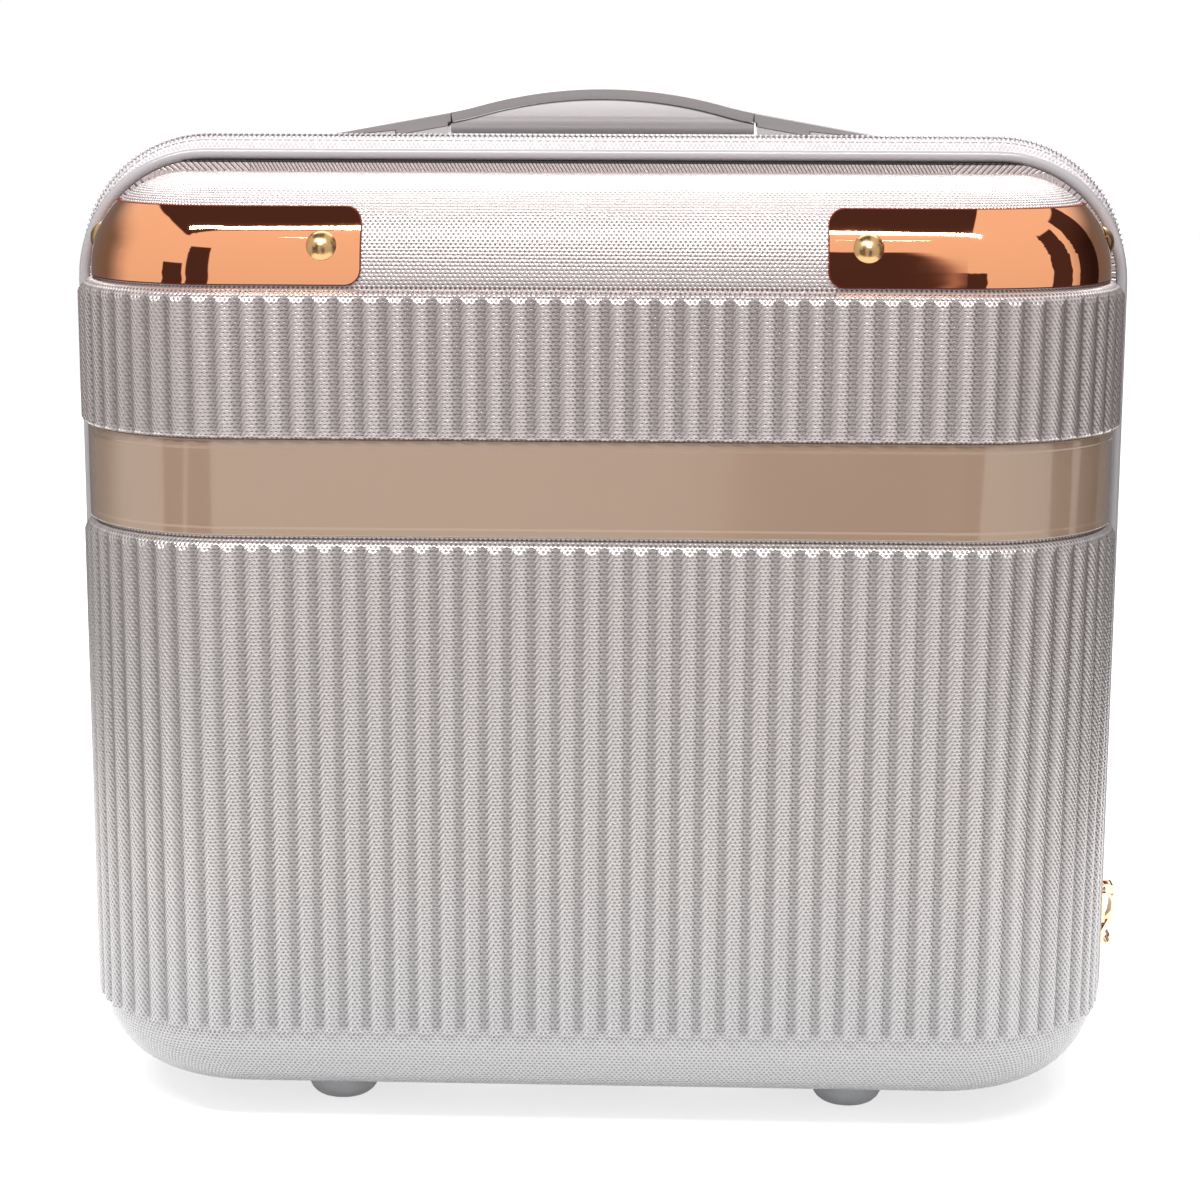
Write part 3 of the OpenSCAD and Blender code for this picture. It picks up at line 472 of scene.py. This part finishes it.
# %% [markdown]
# ## Tools for the new pieces
# A piece starts as a bmesh, gets its normals turned outwards and becomes an object that rides a body of the
# case. The filler cords, the tapes and the gusset all run round the case, so one tool carries a section
# along such a path: it extrudes the section's edges up a side, turns them round a corner, and goes on. A
# curve with a bevel could do the same, but here the flat side of a tape has to keep facing the same way, and
# the mesh remembers how far along each point lies.

# %% Piece and path tools
def piece(work, name, material, body=None, smooth=True):
    """Makes an object of a bmesh; it rides a body if one is given."""
    bmesh.ops.recalc_face_normals(work, faces=work.faces)
    mesh = bpy.data.meshes.new(name)
    work.to_mesh(mesh)
    work.free()
    for face in mesh.polygons:
        face.use_smooth = smooth
    mesh.materials.append(material)
    obj = bpy.data.objects.new(name, mesh)
    bpy.context.collection.objects.link(obj)
    if body:
        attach(obj, body)
    return obj


def newest(made):
    """The points that an operator made, and the edges between them."""
    verts = [v for v in made["geom"] if isinstance(v, bmesh.types.BMVert)]
    fresh = set(verts)
    edges = [e for e in made["geom"] if isinstance(e, bmesh.types.BMEdge) and fresh.issuperset(e.verts)]
    return verts, edges


def carry(section, path, low, steps=12, closed=True):
    """Carries a section of (out, depth) points up the left side of a path, over its top and down."""
    half, top, top_r = path
    rise, across, bend = top - top_r - low, 2 * (half - top_r), top_r * math.pi / 2
    legs = [(Vector((0, 0, rise)), None, rise), (None, Vector((top_r - half, 0, top - top_r)), bend),
            (Vector((across, 0, 0)), None, across), (None, Vector((half - top_r, 0, top - top_r)), bend),
            (Vector((0, 0, -rise)), None, rise)]
    turn = math.pi / 2 / steps
    work = bmesh.new()
    run = work.verts.layers.float.new("run")
    points = [work.verts.new((-half - out, depth, low)) for out, depth in section]
    edges = [work.edges.new(pair) for pair in zip(points, points[1:] + (points[:1] if closed else []))]
    gone = 0
    for move, centre, length in legs:
        count = 1 if centre is None else steps
        for _ in range(count):
            verts, edges = newest(bmesh.ops.extrude_edge_only(work, edges=edges))
            gone += length / count
            if centre is None:
                bmesh.ops.translate(work, verts=verts, vec=move)
            else:
                bmesh.ops.rotate(work, verts=verts, cent=centre, matrix=Matrix.Rotation(turn, 3, "Y"))
            for vert in verts:
                vert[run] = gone
    if closed:
        bmesh.ops.holes_fill(work, edges=[e for e in work.edges if e.is_boundary], sides=0)
    return work


def places_along(path, low, pitch):
    """Matrices at equal steps up the left side of a path, over its top and down; z runs along it."""
    half, top, top_r = path
    rise, across, bend = top - top_r - low, 2 * (half - top_r), top_r * math.pi / 2
    total = 2 * rise + 2 * bend + across
    count = round(total / pitch)
    found = []
    for k in range(count):
        gone = (k + 0.5) * total / count
        far = min(gone, total - gone)
        if far < rise:
            spot, lean = Vector((-half, 0, low + far)), 0
        elif far < rise + bend:
            lean = (far - rise) / top_r
            spot = Vector((top_r - half - top_r * math.cos(lean), 0, top - top_r + top_r * math.sin(lean)))
        else:
            spot, lean = Vector((top_r - half + far - rise - bend, 0, top)), math.pi / 2
        if gone > total / 2:
            spot.x, lean = -spot.x, math.pi - lean
        found.append(Matrix.Translation(spot) @ Matrix.Rotation(lean, 4, "Y"))
    return found


def rounded(work, edges, width, steps):
    """Rounds edges off and says what that made."""
    return bmesh.ops.bevel(work, geom=edges, offset=width, segments=steps, profile=0.5, affect="EDGES",
                           material=-1)


def cut(work, spot, normal):
    """Cuts the faces where they cross a plane."""
    bmesh.ops.bisect_plane(work, geom=work.verts[:] + work.edges[:] + work.faces[:], dist=1e-7,
                           plane_co=spot, plane_no=normal)


def thicken(obj, thickness, offset=-1):
    """Gives a sheet its thickness, inwards unless told otherwise."""
    solid = obj.modifiers.new("thickness", "SOLIDIFY")
    solid.thickness, solid.offset = thickness, offset


def row_of(work, matrices):
    """Repeats a small bmesh at each place and returns the whole row."""
    small = bpy.data.meshes.new("small")
    work.to_mesh(small)
    work.free()
    row = bmesh.new()
    for matrix in matrices:
        small.transform(matrix)
        row.from_mesh(small)
        small.transform(matrix.inverted())
    bpy.data.meshes.remove(small)
    return row


def disc(r, y):
    """A round section of (out, depth) points."""
    turns = [2 * math.pi * k / 8 for k in range(8)]
    return [(r * math.cos(turn), y + r * math.sin(turn)) for turn in turns]


print("tools ready")

# %% [markdown]
# ## Corner plates and belt
# The copper plates are pressed from thin sheet, and the press rolls their edges over. The edge of the solid
# plate is square, so a copy of its mesh is merged and only its sharp outline is bevelled. The rounded edge
# and the thin walls behind it take a dark matte finish, partly the edge's colour and partly painted shade of
# the gap round the plate. The walls are the regions that are left between the bevels, except the two
# largest, which are the front and the back of the plate. Weighted normals keep those two even, as a mirror
# has to be. The belt is done the same way, and its edges and walls take a painted highlight.

# %% Corner plates and belt
def regions(faces):
    """Groups of joined faces, the smallest first."""
    left, found = set(faces), []
    for first in faces:
        if first not in left:
            continue
        left.discard(first)
        region = [first]
        for face in region:
            for edge in face.edges:
                for other in edge.link_faces:
                    if other in left:
                        left.discard(other)
                        region.append(other)
        found.append(region)
    return sorted(found, key=lambda region: sum(face.calc_area() for face in region))


def rolled_edges(node, name, face_finish, edge_finish, width):
    """A merged copy of a solid's mesh with its sharp outline rounded."""
    work = bmesh.new()
    work.from_mesh(nodes[node].data)
    bmesh.ops.remove_doubles(work, verts=work.verts, dist=0.06 * mm)
    bmesh.ops.dissolve_degenerate(work, edges=work.edges, dist=0.02 * mm)
    outline = [e for e in work.edges if e.is_manifold and e.calc_face_angle(0) > 0.6]
    for face in rounded(work, outline, width, 2)["faces"]:
        face.material_index = 1
    walls = regions([face for face in work.faces if face.material_index == 0])[:-2]
    for region in walls:
        for face in region:
            face.material_index = 1
    finishes = [face.material_index for face in work.faces]
    for edge in work.edges:
        edge.smooth = len({face.material_index for face in edge.link_faces}) == 1
    made = piece(work, name, face_finish, "lid")
    made.data.materials.append(edge_finish)
    made.data.polygons.foreach_set("material_index", finishes)
    weighted = made.modifiers.new("even_shading", "WEIGHTED_NORMAL")
    weighted.weight = 100
    weighted.keep_sharp = True
    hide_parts(node)
    print(name, len(outline), "edges rounded,", len(made.data.polygons), "faces")
    return made


for side in ("left", "right"):
    plate = rolled_edges(f"corner_plate_{side}", f"rolled_plate_{side}", copper, copper_edge_shade, 0.38 * mm)
rolled_edges("belt_trim", "glossy_belt", belt, belt_edge_highlight, 0.5 * mm)

# %% [markdown]
# ## Zip coils
# A coil zip is a nylon thread wound round a filler cord and sewn to a tape. One turn is a small ring, spun
# from a round section; a few dozen faces are enough, because there are about five hundred turns on each tape.
# The turns lean a little, as a wound thread does, and the filler cord between them is coloured near-black as
# painted shade.

# %% Zip coils
coil_low, coil_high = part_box("front_zip_coil")
coil_r = (coil_high[1] - coil_low[1]) / 2
wire_r = 0.42 * mm
core_r = 0.62 * mm
zip_low = coil_low[2]
zip_path = (coil_high[0] - coil_r, coil_high[2] - coil_r, 40.6 * mm)
turn_pitch = 1.7 * mm


def coil_turn():
    """One leaning turn of the coil round its z axis."""
    work = bmesh.new()
    made = bmesh.ops.create_circle(work, segments=5, radius=wire_r)
    bmesh.ops.rotate(work, verts=made["verts"], cent=(0, 0, 0), matrix=Matrix.Rotation(math.pi / 2, 3, "X"))
    bmesh.ops.translate(work, verts=made["verts"], vec=(coil_r - wire_r, 0, 0))
    bmesh.ops.spin(work, geom=work.verts[:] + work.edges[:], cent=(0, 0, 0), axis=(0, 0, 1),
                   angle=2 * math.pi, steps=9, use_merge=True)
    bmesh.ops.rotate(work, verts=work.verts, cent=(0, 0, 0), matrix=Matrix.Rotation(math.radians(16), 3, "X"))
    bmesh.ops.recalc_face_normals(work, faces=work.faces)
    return work


for side, body in (("front", "lid"), ("back", "case")):
    low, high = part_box(f"{side}_zip_coil")
    middle = (low[1] + high[1]) / 2
    turns = [Matrix.Translation((0, middle, 0)) @ place
             for place in places_along(zip_path, zip_low + wire_r, turn_pitch)]
    coil = piece(row_of(coil_turn(), turns), f"{side}_coil_turns", nylon, body)
    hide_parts(f"{side}_zip_coil")
    work = carry(disc(core_r, middle), zip_path, low=zip_low + 0.2 * mm)
    core = piece(work, f"{side}_coil_core", cord_core_shade, body)
    print(coil.name, len(turns), "turns,", len(coil.data.polygons), "faces")

# %% [markdown]
# ## Zip tapes
# Each coil is sewn to a woven tape that slopes down from the coil to the piping. The tape is a thin band
# carried round the same path, and its stitches are tiny rounded bars in a row beside the coil.

# %% Zip tapes
tape_drop = 3.9 * mm
seam_in, seam_aside = 0.75 * mm, 3.9 * mm


def tape_section(sign, low, high):
    """Sloping band between the coil and the rim, as (out, depth) points."""
    thick = 0.35 * mm
    near, far = (low[1], high[1]) if sign < 0 else (high[1], low[1])
    sag, knee = 0.45 * tape_drop, near + 0.62 * (far - near)
    return [(-tape_drop - thick, near), (-sag - thick, knee), (-thick, far),
            (thick, far), (thick - sag, knee), (thick - tape_drop, near)]


def stitch(length):
    """A small rounded bar along its z axis."""
    work = bmesh.new()
    bmesh.ops.create_cube(work, size=1)
    bmesh.ops.scale(work, verts=work.verts, vec=(0.35 * mm, 0.35 * mm, length))
    rounded(work, work.edges[:], 0.12 * mm, 1)
    return work


for side, body, sign in (("front", "lid", -1), ("back", "case", 1)):
    low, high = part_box(f"{side}_zip_tape")
    work = carry(tape_section(sign, low, high), zip_path, low=zip_low)
    band = piece(work, f"{side}_tape_band", tape, body)
    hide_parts(f"{side}_zip_tape")
    seam_path = [size - seam_in for size in zip_path]
    seam = [Matrix.Translation((0, zip_y + sign * seam_aside, 0)) @ place
            for place in places_along(seam_path, zip_low + 2 * mm, 2.6 * mm)]
    stitches = piece(row_of(stitch(1.8 * mm), seam), f"{side}_tape_stitches", thread, body)
    print(band.name, "with", len(seam), "stitches")

# %% [markdown]
# ## Handle tails
# The strip of the handle is one springy band. Its tails run through sleeves onto the mounts, and they bend
# when the grip is lifted, so each is cut into short lengths. A solid that stays stiff would tear away from
# the mount.

# %% Handle tails
slope = math.tan(tail_turn)
sleeve_near, sleeve_far, sleeve_t, ramp_t, tip_t = 50 * mm, 67 * mm, 4.1 * mm, 2.5 * mm, 0.6 * mm
cuts = 14
for side in (-1, 1):
    node = "handle_tail_right" if side > 0 else "handle_tail_left"
    low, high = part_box(node)
    inner, outer = (low[0], high[0]) if side > 0 else (high[0], low[0])
    sleeve_from, sleeve_to = side * sleeve_near, side * sleeve_far
    top = high[2]
    outline = [(inner, 0), (outer, 0), (outer, tip_t), (sleeve_to, ramp_t), (sleeve_to, sleeve_t),
               (sleeve_from, sleeve_t), (sleeve_from, strip_t), (inner, strip_t)]
    corners = [(x, low[1], top - abs(x - inner) * slope - under) for x, under in outline]
    work = bmesh.new()
    loop = work.faces.new([work.verts.new(corner) for corner in corners])
    verts, _ = newest(bmesh.ops.extrude_face_region(work, geom=[loop]))
    bmesh.ops.translate(work, verts=verts, vec=(0, high[1] - low[1], 0))
    rounded(work, [e for e in work.edges if abs(e.verts[0].co.y - e.verts[1].co.y) < 1e-6], 0.25 * mm, 2)
    for k in range(1, cuts):
        cut(work, (inner + (outer - inner) * k / cuts, 0, 0), (1, 0, 0))
    tail = piece(work, f"{node}_band", strip, smooth=False)
    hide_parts(node)
    middle = (low[1] + high[1]) / 2
    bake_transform(tail)
    print(tail.name, len(tail.data.polygons), "faces")

# %% [markdown]
# ## Hinge gusset
# Below the ends of the zip a strip of cloth closes the gap between the shells and folds when the lid opens.
# It is glued inside both walls, and its slack lies in a pleat that points inwards. It is carried under the
# bottom and turned upside down from the way the zip runs.

# %% Hinge gusset
gusset_low, gusset_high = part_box("hinge_gusset")
glue_w, pleat, off_wall = 3 * mm, 6 * mm, 0.4 * mm
low_y, high_y = gusset_low[1], gusset_high[1]
glued_low, glued_high = low_y + glue_w, high_y - glue_w
profile = [(0, low_y), (0, glued_low), (-0.55 * pleat, (glued_low + zip_y) / 2), (-pleat, zip_y),
           (-0.55 * pleat, (glued_high + zip_y) / 2), (0, glued_high), (0, high_y)]
bottom_r = 25.7 * mm
half = gusset_high[0] - off_wall
base = gusset_low[2] + off_wall
climb = gusset_high[2] - base
work = carry(profile, (half, base, bottom_r), low=base - climb, steps=10, closed=False)
bmesh.ops.scale(work, verts=work.verts, vec=(1, 1, -1), space=Matrix.Translation((0, 0, -base)))
gusset = piece(work, "folding_gusset", gusset_cloth)
thicken(gusset, 0.6 * mm, 0)
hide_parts("hinge_gusset")
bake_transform(gusset)

# %% [markdown]
# ## Quilted linings
# Both shells are lined with cloth quilted in diamonds over thin wadding. The lining is a tub: a cube without
# its open side, with its upright edges, its roof and its floor rolled by bevels. Planes cut it into small
# squares, and each point near a seam of the quilting moves outwards, so the pads stay where the solid lining
# is and the seams sink in.

# %% Quilted linings
lining_in, lining_t = 9 * mm, 1.2 * mm
inset = lining_in + lining_t
roof, roof_r = 291.1 * mm - lining_t, 20.8 * mm
sole, sole_r = 10 * mm + inset, 19.2 * mm - lining_t
quilt = 34 * mm
seam_deep = 1.2 * mm
flare = 20 * mm


def tub(low, high, open_y, corner, top_r, floor_r, cell):
    """A rounded tub, open at open_y, cut into cells."""
    work = bmesh.new()
    bmesh.ops.create_cube(work, size=1)
    bmesh.ops.scale(work, verts=work.verts, vec=[b - a for a, b in zip(low, high)])
    bmesh.ops.translate(work, verts=work.verts, vec=[(a + b) / 2 for a, b in zip(low, high)])
    mouth = [f for f in work.faces if all(abs(v.co.y - open_y) < 1e-6 for v in f.verts)]
    bmesh.ops.delete(work, geom=mouth, context="FACES_ONLY")
    upright = [e for e in work.edges if not e.is_boundary and abs(e.verts[0].co.z - e.verts[1].co.z) > 0.01
               and all(abs(v.co.y - open_y) > 1e-6 for v in e.verts)]
    rounded(work, upright, corner, 9)
    for height, radius in ((high[2], top_r), (low[2], floor_r)):
        brim = [e for e in work.edges
                if not e.is_boundary and all(abs(v.co.z - height) < 1e-6 for v in e.verts)]
        rounded(work, brim, radius, 5)
    for axis in range(3):
        count = round((high[axis] - low[axis]) / cell)
        for k in range(1, count):
            spot, normal = Vector((0, 0, 0)), Vector((0, 0, 0))
            spot[axis] = low[axis] + (high[axis] - low[axis]) * k / count
            normal[axis] = 1
            cut(work, spot, normal)
    bmesh.ops.recalc_face_normals(work, faces=work.faces)
    return work


def sew_quilt(work, face_side):
    """Sinks the diamond seams of the quilting outwards."""
    work.normal_update()
    k = math.pi / quilt
    for vert in work.verts:
        across = abs(vert.co.x) + abs(vert.co.y - face_side)
        pads = abs(math.sin(k * (across + vert.co.z)) * math.sin(k * (across - vert.co.z)))
        vert.co += vert.normal * seam_deep * (1 - pads ** 0.35)


cap_from, groove_from, groove_to = 255 * mm, 180 * mm, 229 * mm
cap_gap, rib_gap = 2.3 * mm, 6.0 * mm


def wall_gap(z, groove_gap):
    """How far the wall is from the lining at a height, so that the edge of the lining can reach it."""
    if z > cap_from:
        return cap_gap
    return groove_gap if groove_from < z < groove_to else rib_gap


for side, body, groove_gap in (("front", "lid", 4.2 * mm), ("back", "case", 5.4 * mm)):
    low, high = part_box(f"{side}_lining")
    face_side, open_y = (face_y + inset, high[1]) if side == "front" else (-face_y - inset, low[1])
    corner_low = (-case_half + inset, min(face_side, open_y), sole)
    corner_high = (case_half - inset, max(face_side, open_y), roof)
    work = tub(corner_low, corner_high, open_y, corner_r - inset, roof_r, sole_r, 5 * mm)
    sew_quilt(work, face_side)
    edge = [e for e in work.edges if e.is_boundary]
    verts, _ = newest(bmesh.ops.extrude_edge_only(work, edges=edge))
    for vert in verts:
        out = Vector((max(abs(vert.co.x) - flat_half, 0) * math.copysign(1, vert.co.x), 0, 0))
        if vert.co.z > roof - flare:
            out.z = vert.co.z - (roof - flare)
        if vert.co.z < 2 * flare:
            out.z = vert.co.z - 2 * flare
        vert.co += out.normalized() * wall_gap(vert.co.z, groove_gap)
    quilted = piece(work, f"{side}_quilted_lining", lining, body)
    thicken(quilted, 0.5 * mm, 1)
    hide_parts(f"{side}_lining")
    print(quilted.name, len(quilted.data.polygons), "faces")

# %% [markdown]
# ## Lid pocket
# A flat pocket is sewn to the lining of the lid. Its free upper edge is gathered by an elastic hem, so the
# cloth below it falls in small folds that die out towards the sewn edges. A grid of squares takes the folds
# point by point.

# %% Lid pocket
pocket_low, pocket_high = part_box("lid_pocket")
pocket_w, pocket_h = pocket_high[0] - pocket_low[0], pocket_high[2] - pocket_low[2]
pocket_deep = pocket_high[1] - pocket_low[1]
work = bmesh.new()
bmesh.ops.create_grid(work, x_segments=120, y_segments=40, size=0.5)
bmesh.ops.scale(work, verts=work.verts, vec=(pocket_w - 2 * mm, pocket_h - 2 * mm, 1))
bmesh.ops.rotate(work, verts=work.verts, cent=(0, 0, 0), matrix=Matrix.Rotation(math.pi / 2, 3, "X"))
bmesh.ops.translate(work, verts=work.verts,
                    vec=(0, pocket_low[1] + 0.3 * mm, (pocket_low[2] + pocket_high[2]) / 2))
for vert in work.verts:
    u = abs(vert.co.x) / (pocket_w / 2)
    t = (vert.co.z - pocket_low[2]) / pocket_h
    swell = (1 - u ** 4) * math.sin(math.pi * min(1, t * 1.15) * 0.5) ** 0.7
    folds = 0.5 + 0.5 * math.sin(vert.co.x / (2.6 * mm)) * (0.25 + 0.75 * t * t)
    vert.co.y += (pocket_deep - 0.9 * mm) * max(0, swell) * (0.35 + 0.65 * folds)
pocket = piece(work, "pocket_cloth", lining, "lid")
thicken(pocket, 0.4 * mm)
hem = bmesh.new()
bmesh.ops.create_cube(hem, size=1)
bmesh.ops.scale(hem, verts=hem.verts, vec=(pocket_w - 4 * mm, 1.6 * mm, 9 * mm))
bmesh.ops.translate(hem, verts=hem.verts, vec=(0, pocket_high[1] - 0.85 * mm, pocket_high[2] - 6 * mm))
rounded(hem, hem.edges[:], 0.6 * mm, 2)
hem_band = piece(hem, "pocket_hem", elastic, "lid", smooth=False)
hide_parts("lid_pocket")

# %% [markdown]
# ## Packing straps
# Two elastic straps cross inside the rear shell and hold the clothes. Each is a flat webbing band, and the
# upper one rises a little where it passes over the other. Their ends are sewn down with crossed stitches.

# %% Packing straps
straps_low, straps_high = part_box("packing_straps")
strap_w, strap_t, sewn_in = 25 * mm, 0.9 * mm, 13 * mm
back_of = straps_high[1]
centre = Vector((0, back_of, (straps_low[2] + straps_high[2]) / 2))
span, tall, rise_half, cuts = 192 * mm, 172.8 * mm, 26 * mm, 40
lean = math.atan2(tall, span)
length = math.hypot(span, tall)
for number, side in enumerate((-1, 1)):
    work = bmesh.new()
    bmesh.ops.create_cube(work, size=1)
    bmesh.ops.scale(work, verts=work.verts, vec=(length, strap_t, strap_w))
    for k in range(1, cuts):
        cut(work, (length * (k / cuts - 0.5), 0, 0), (1, 0, 0))
    for vert in work.verts:
        near = max(0, 1 - abs(vert.co.x) / rise_half)
        vert.co.y -= number * strap_t * (3 * near ** 2 - 2 * near ** 3)
    sharp = [e for e in work.edges if e.is_manifold and e.calc_face_angle(0) > 1]
    rounded(work, sharp, 0.2 * mm, 1)
    bmesh.ops.rotate(work, verts=work.verts, cent=(0, 0, 0), matrix=Matrix.Rotation(-side * lean, 3, "Y"))
    bmesh.ops.translate(work, verts=work.verts, vec=centre - Vector((0, strap_t / 2 + 0.02 * mm, 0)))
    band = piece(work, f"packing_strap_{number + 1}", elastic, "case", smooth=False)
    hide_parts("packing_straps")
    ends = []
    laid = Matrix.Translation(centre - Vector((0, strap_t / 2, 0))) @ Matrix.Rotation(-side * lean, 4, "Y")
    for end in (-1, 1):
        for tilt, reach in ((0, 9), (math.pi / 4, 12), (-math.pi / 4, 12), (math.pi / 2, 9)):
            for k in range(-3, 4):
                along = Vector((math.cos(tilt), 0, math.sin(tilt))) * k * reach / 3.5 * mm
                spot = Vector((end * (length / 2 - sewn_in), -strap_t / 2, 0)) + along
                ends.append(laid @ Matrix.Translation(spot) @ Matrix.Rotation(math.pi / 2 - tilt, 4, "Y"))
    sewing = piece(row_of(stitch(2.2 * mm), ends), f"strap_stitches_{number + 1}", thread, "case")
    print(band.name, round(length, 3), "m long")

# %% [markdown]
# ## Studio
# The case stands on a pale floor that runs up into a backdrop. One large soft lamp hangs above and behind, so
# that the roll of the cap and the shoulders of the ribs catch it, and a long narrow one hangs in front, which
# the mirror plates show as a bright line. Where the camera looks straight at the floor or the world it sees
# white, with only the soft shadow left. The lid swings down past the ground when the upright case is opened,
# so the floor is sheer to the camera and open from below: the lid stays in sight and gets its light.

# %% Floor and backdrop
def rays(tree, *kinds):
    """One for rays of any of these kinds."""
    found = source(tree, "ShaderNodeLightPath", kinds[0])
    for kind in kinds[1:]:
        found = found.most(source(tree, "ShaderNodeLightPath", kind))
    return found


def empty_tree(owner):
    """The node tree of a material or a world, without nodes."""
    owner.use_nodes = True
    owner.node_tree.nodes.clear()
    return owner.node_tree


sweep = bmesh.new()
floor_half, floor_front, floor_back, bend_r, backdrop_top = 0.5, -0.5, 1.2, 0.8, 3.0
line = [(floor_front, 0), (floor_back, 0)]
for k in range(1, 9):
    turn = math.radians(k * 90 / 8)
    line.append((floor_back + bend_r * math.sin(turn), bend_r - bend_r * math.cos(turn)))
line.append((floor_back + bend_r, backdrop_top))
profile = [sweep.verts.new((-floor_half, *spot)) for spot in line]
edges = [sweep.edges.new(pair) for pair in zip(profile, profile[1:])]
verts, _ = newest(bmesh.ops.extrude_edge_only(sweep, edges=edges))
bmesh.ops.translate(sweep, verts=verts, vec=(2 * floor_half, 0, 0))
bmesh.ops.recalc_face_normals(sweep, faces=sweep.faces)
if sweep.faces[0].normal.z < 0:
    bmesh.ops.reverse_faces(sweep, faces=sweep.faces)
floor_mesh = bpy.data.meshes.new("floor")
sweep.to_mesh(floor_mesh)
sweep.free()
floor = bpy.data.objects.new("floor", floor_mesh)
bpy.context.collection.objects.link(floor)
for face in floor_mesh.polygons:
    face.use_smooth = True
paper = bpy.data.materials.new("paper_floor")
tree = empty_tree(paper)
looked = rays(tree, "Is Camera Ray", "Is Transmission Ray")
mirrored = rays(tree, "Is Glossy Ray") * (1 - looked)
under = source(tree, "ShaderNodeNewGeometry", "Backfacing")
sheet = colour_mix(mirrored, (0.64, 0.64, 0.64, 1), (0.86, 0.86, 0.86, 1))
sheet = colour_mix(looked, sheet, (0.40, 0.40, 0.40, 1))
matte = under.node("ShaderNodeBsdfDiffuse", Color=sheet)
glow = under.node("ShaderNodeEmission", Color=(1, 1, 1, 1), Strength=mirrored * 0.45)
sheer = colour_mix(looked, (0, 0, 0, 1), (0.72, 0.72, 0.72, 1))
clear = under.node("ShaderNodeBsdfTransparent", Color=sheer)
upper_side = under.node("ShaderNodeAddShader", i0=matte, i1=glow)
upper_side = under.node("ShaderNodeAddShader", i0=upper_side, i1=clear)
open_side = under.node("ShaderNodeBsdfTransparent", Color=(1, 1, 1, 1))
out = tree.nodes.new("ShaderNodeOutputMaterial")
put(out.inputs["Surface"], under.node("ShaderNodeMixShader", i0=under, i1=upper_side, i2=open_side))
floor_mesh.materials.append(paper)
print("floor ready")

# %% [markdown]
# ## Lamps and room
# The world is a plain room with pale walls, a dark ceiling and a few dark openings, because a mirror plate
# only reads as a mirror when there is something for it to show. The far side of the room, behind the case, is
# dim. Glossy surfaces see this room; the camera and clear materials see white instead.

# %% Lamps and world
def lamp(name, place, aim, size, power):
    """A soft rectangular lamp aimed at a point."""
    data = bpy.data.lights.new(name, "AREA")
    data.shape = "RECTANGLE"
    data.size, data.size_y = size
    data.energy = power
    obj = bpy.data.objects.new(name, data)
    bpy.context.collection.objects.link(obj)
    direction = Vector(aim) - Vector(place)
    obj.matrix_world = Matrix.Translation(place) @ direction.to_track_quat("-Z", "Y").to_matrix().to_4x4()


lamp("lamp_top", (0, 1.15, 1.5), (0, 0, 0.3), (2.2, 1.1), 30)
lamp("lamp_strip", (-0.3, -1.25, 1.95), (0, 0, 0.2), (2.0, 0.11), 58)
world = bpy.data.worlds.new("room")
bpy.context.scene.world = world
tree = empty_tree(world)
seen = rays(tree, "Is Camera Ray", "Is Transmission Ray")
aside, forward, height = source(tree, "ShaderNodeTexCoord", "Generated").axes()


def between(value, low, high, soft):
    """One between low and high, with a soft edge."""
    return value.smooth(low - soft, low + soft) * (1 - value.smooth(high - soft, high + soft))


turn = aside.maths("ARCTAN2", 0 - forward) * (180 / math.pi)
behind = forward.smooth(-0.1, 0.5) * (1 - height.smooth(0.25, 0.6))
reach = (0 - forward).most(forward * 1.3).most(aside * 4).most(aside * -0.9)
ceiling = (height * 0.775 - reach).smooth(-0.012, 0.012)
# Each opening spans two turns from straight ahead of the case, in degrees, and ends at a height.
openings = [(1.0, 5.6, 0.50), (5.6, 20, 0.12), (-38, -21, 0.50), (-57, -41, 0.20), (72, 91, 0.62),
            (99, 125, 0.68)]
dark = ceiling
for from_turn, to_turn, top in openings:
    dark = dark.most(between(turn, from_turn, to_turn, 0.4) * (1 - height.smooth(top - 0.01, top + 0.01)))
walls = [(0.0, (0.60, 0.60, 0.60, 1)), (0.50, (0.92, 0.915, 0.91, 1)), (0.885, (1.0, 0.995, 0.99, 1))]
shade = height.node("ShaderNodeValToRGB", {"stops": walls}, Fac=height * 0.5 + 0.5)
shade = colour_mix(dark, shade, (1.0, 0.62, 0.66, 1))
strength = 0.95 - 0.75 * behind - 0.88 * dark * (1 - 0.8 * behind)
grey = seen.node("ShaderNodeBackground", Color=shade, Strength=strength)
white = seen.node("ShaderNodeBackground", Color=(1, 1, 1, 1), Strength=1.0)
out = tree.nodes.new("ShaderNodeOutputWorld")
put(out.inputs["Surface"], seen.node("ShaderNodeMixShader", i0=seen, i1=grey, i2=white))
bpy.context.scene.view_settings.view_transform = "Standard"
print("lamps:", [light.name for light in bpy.data.lights])
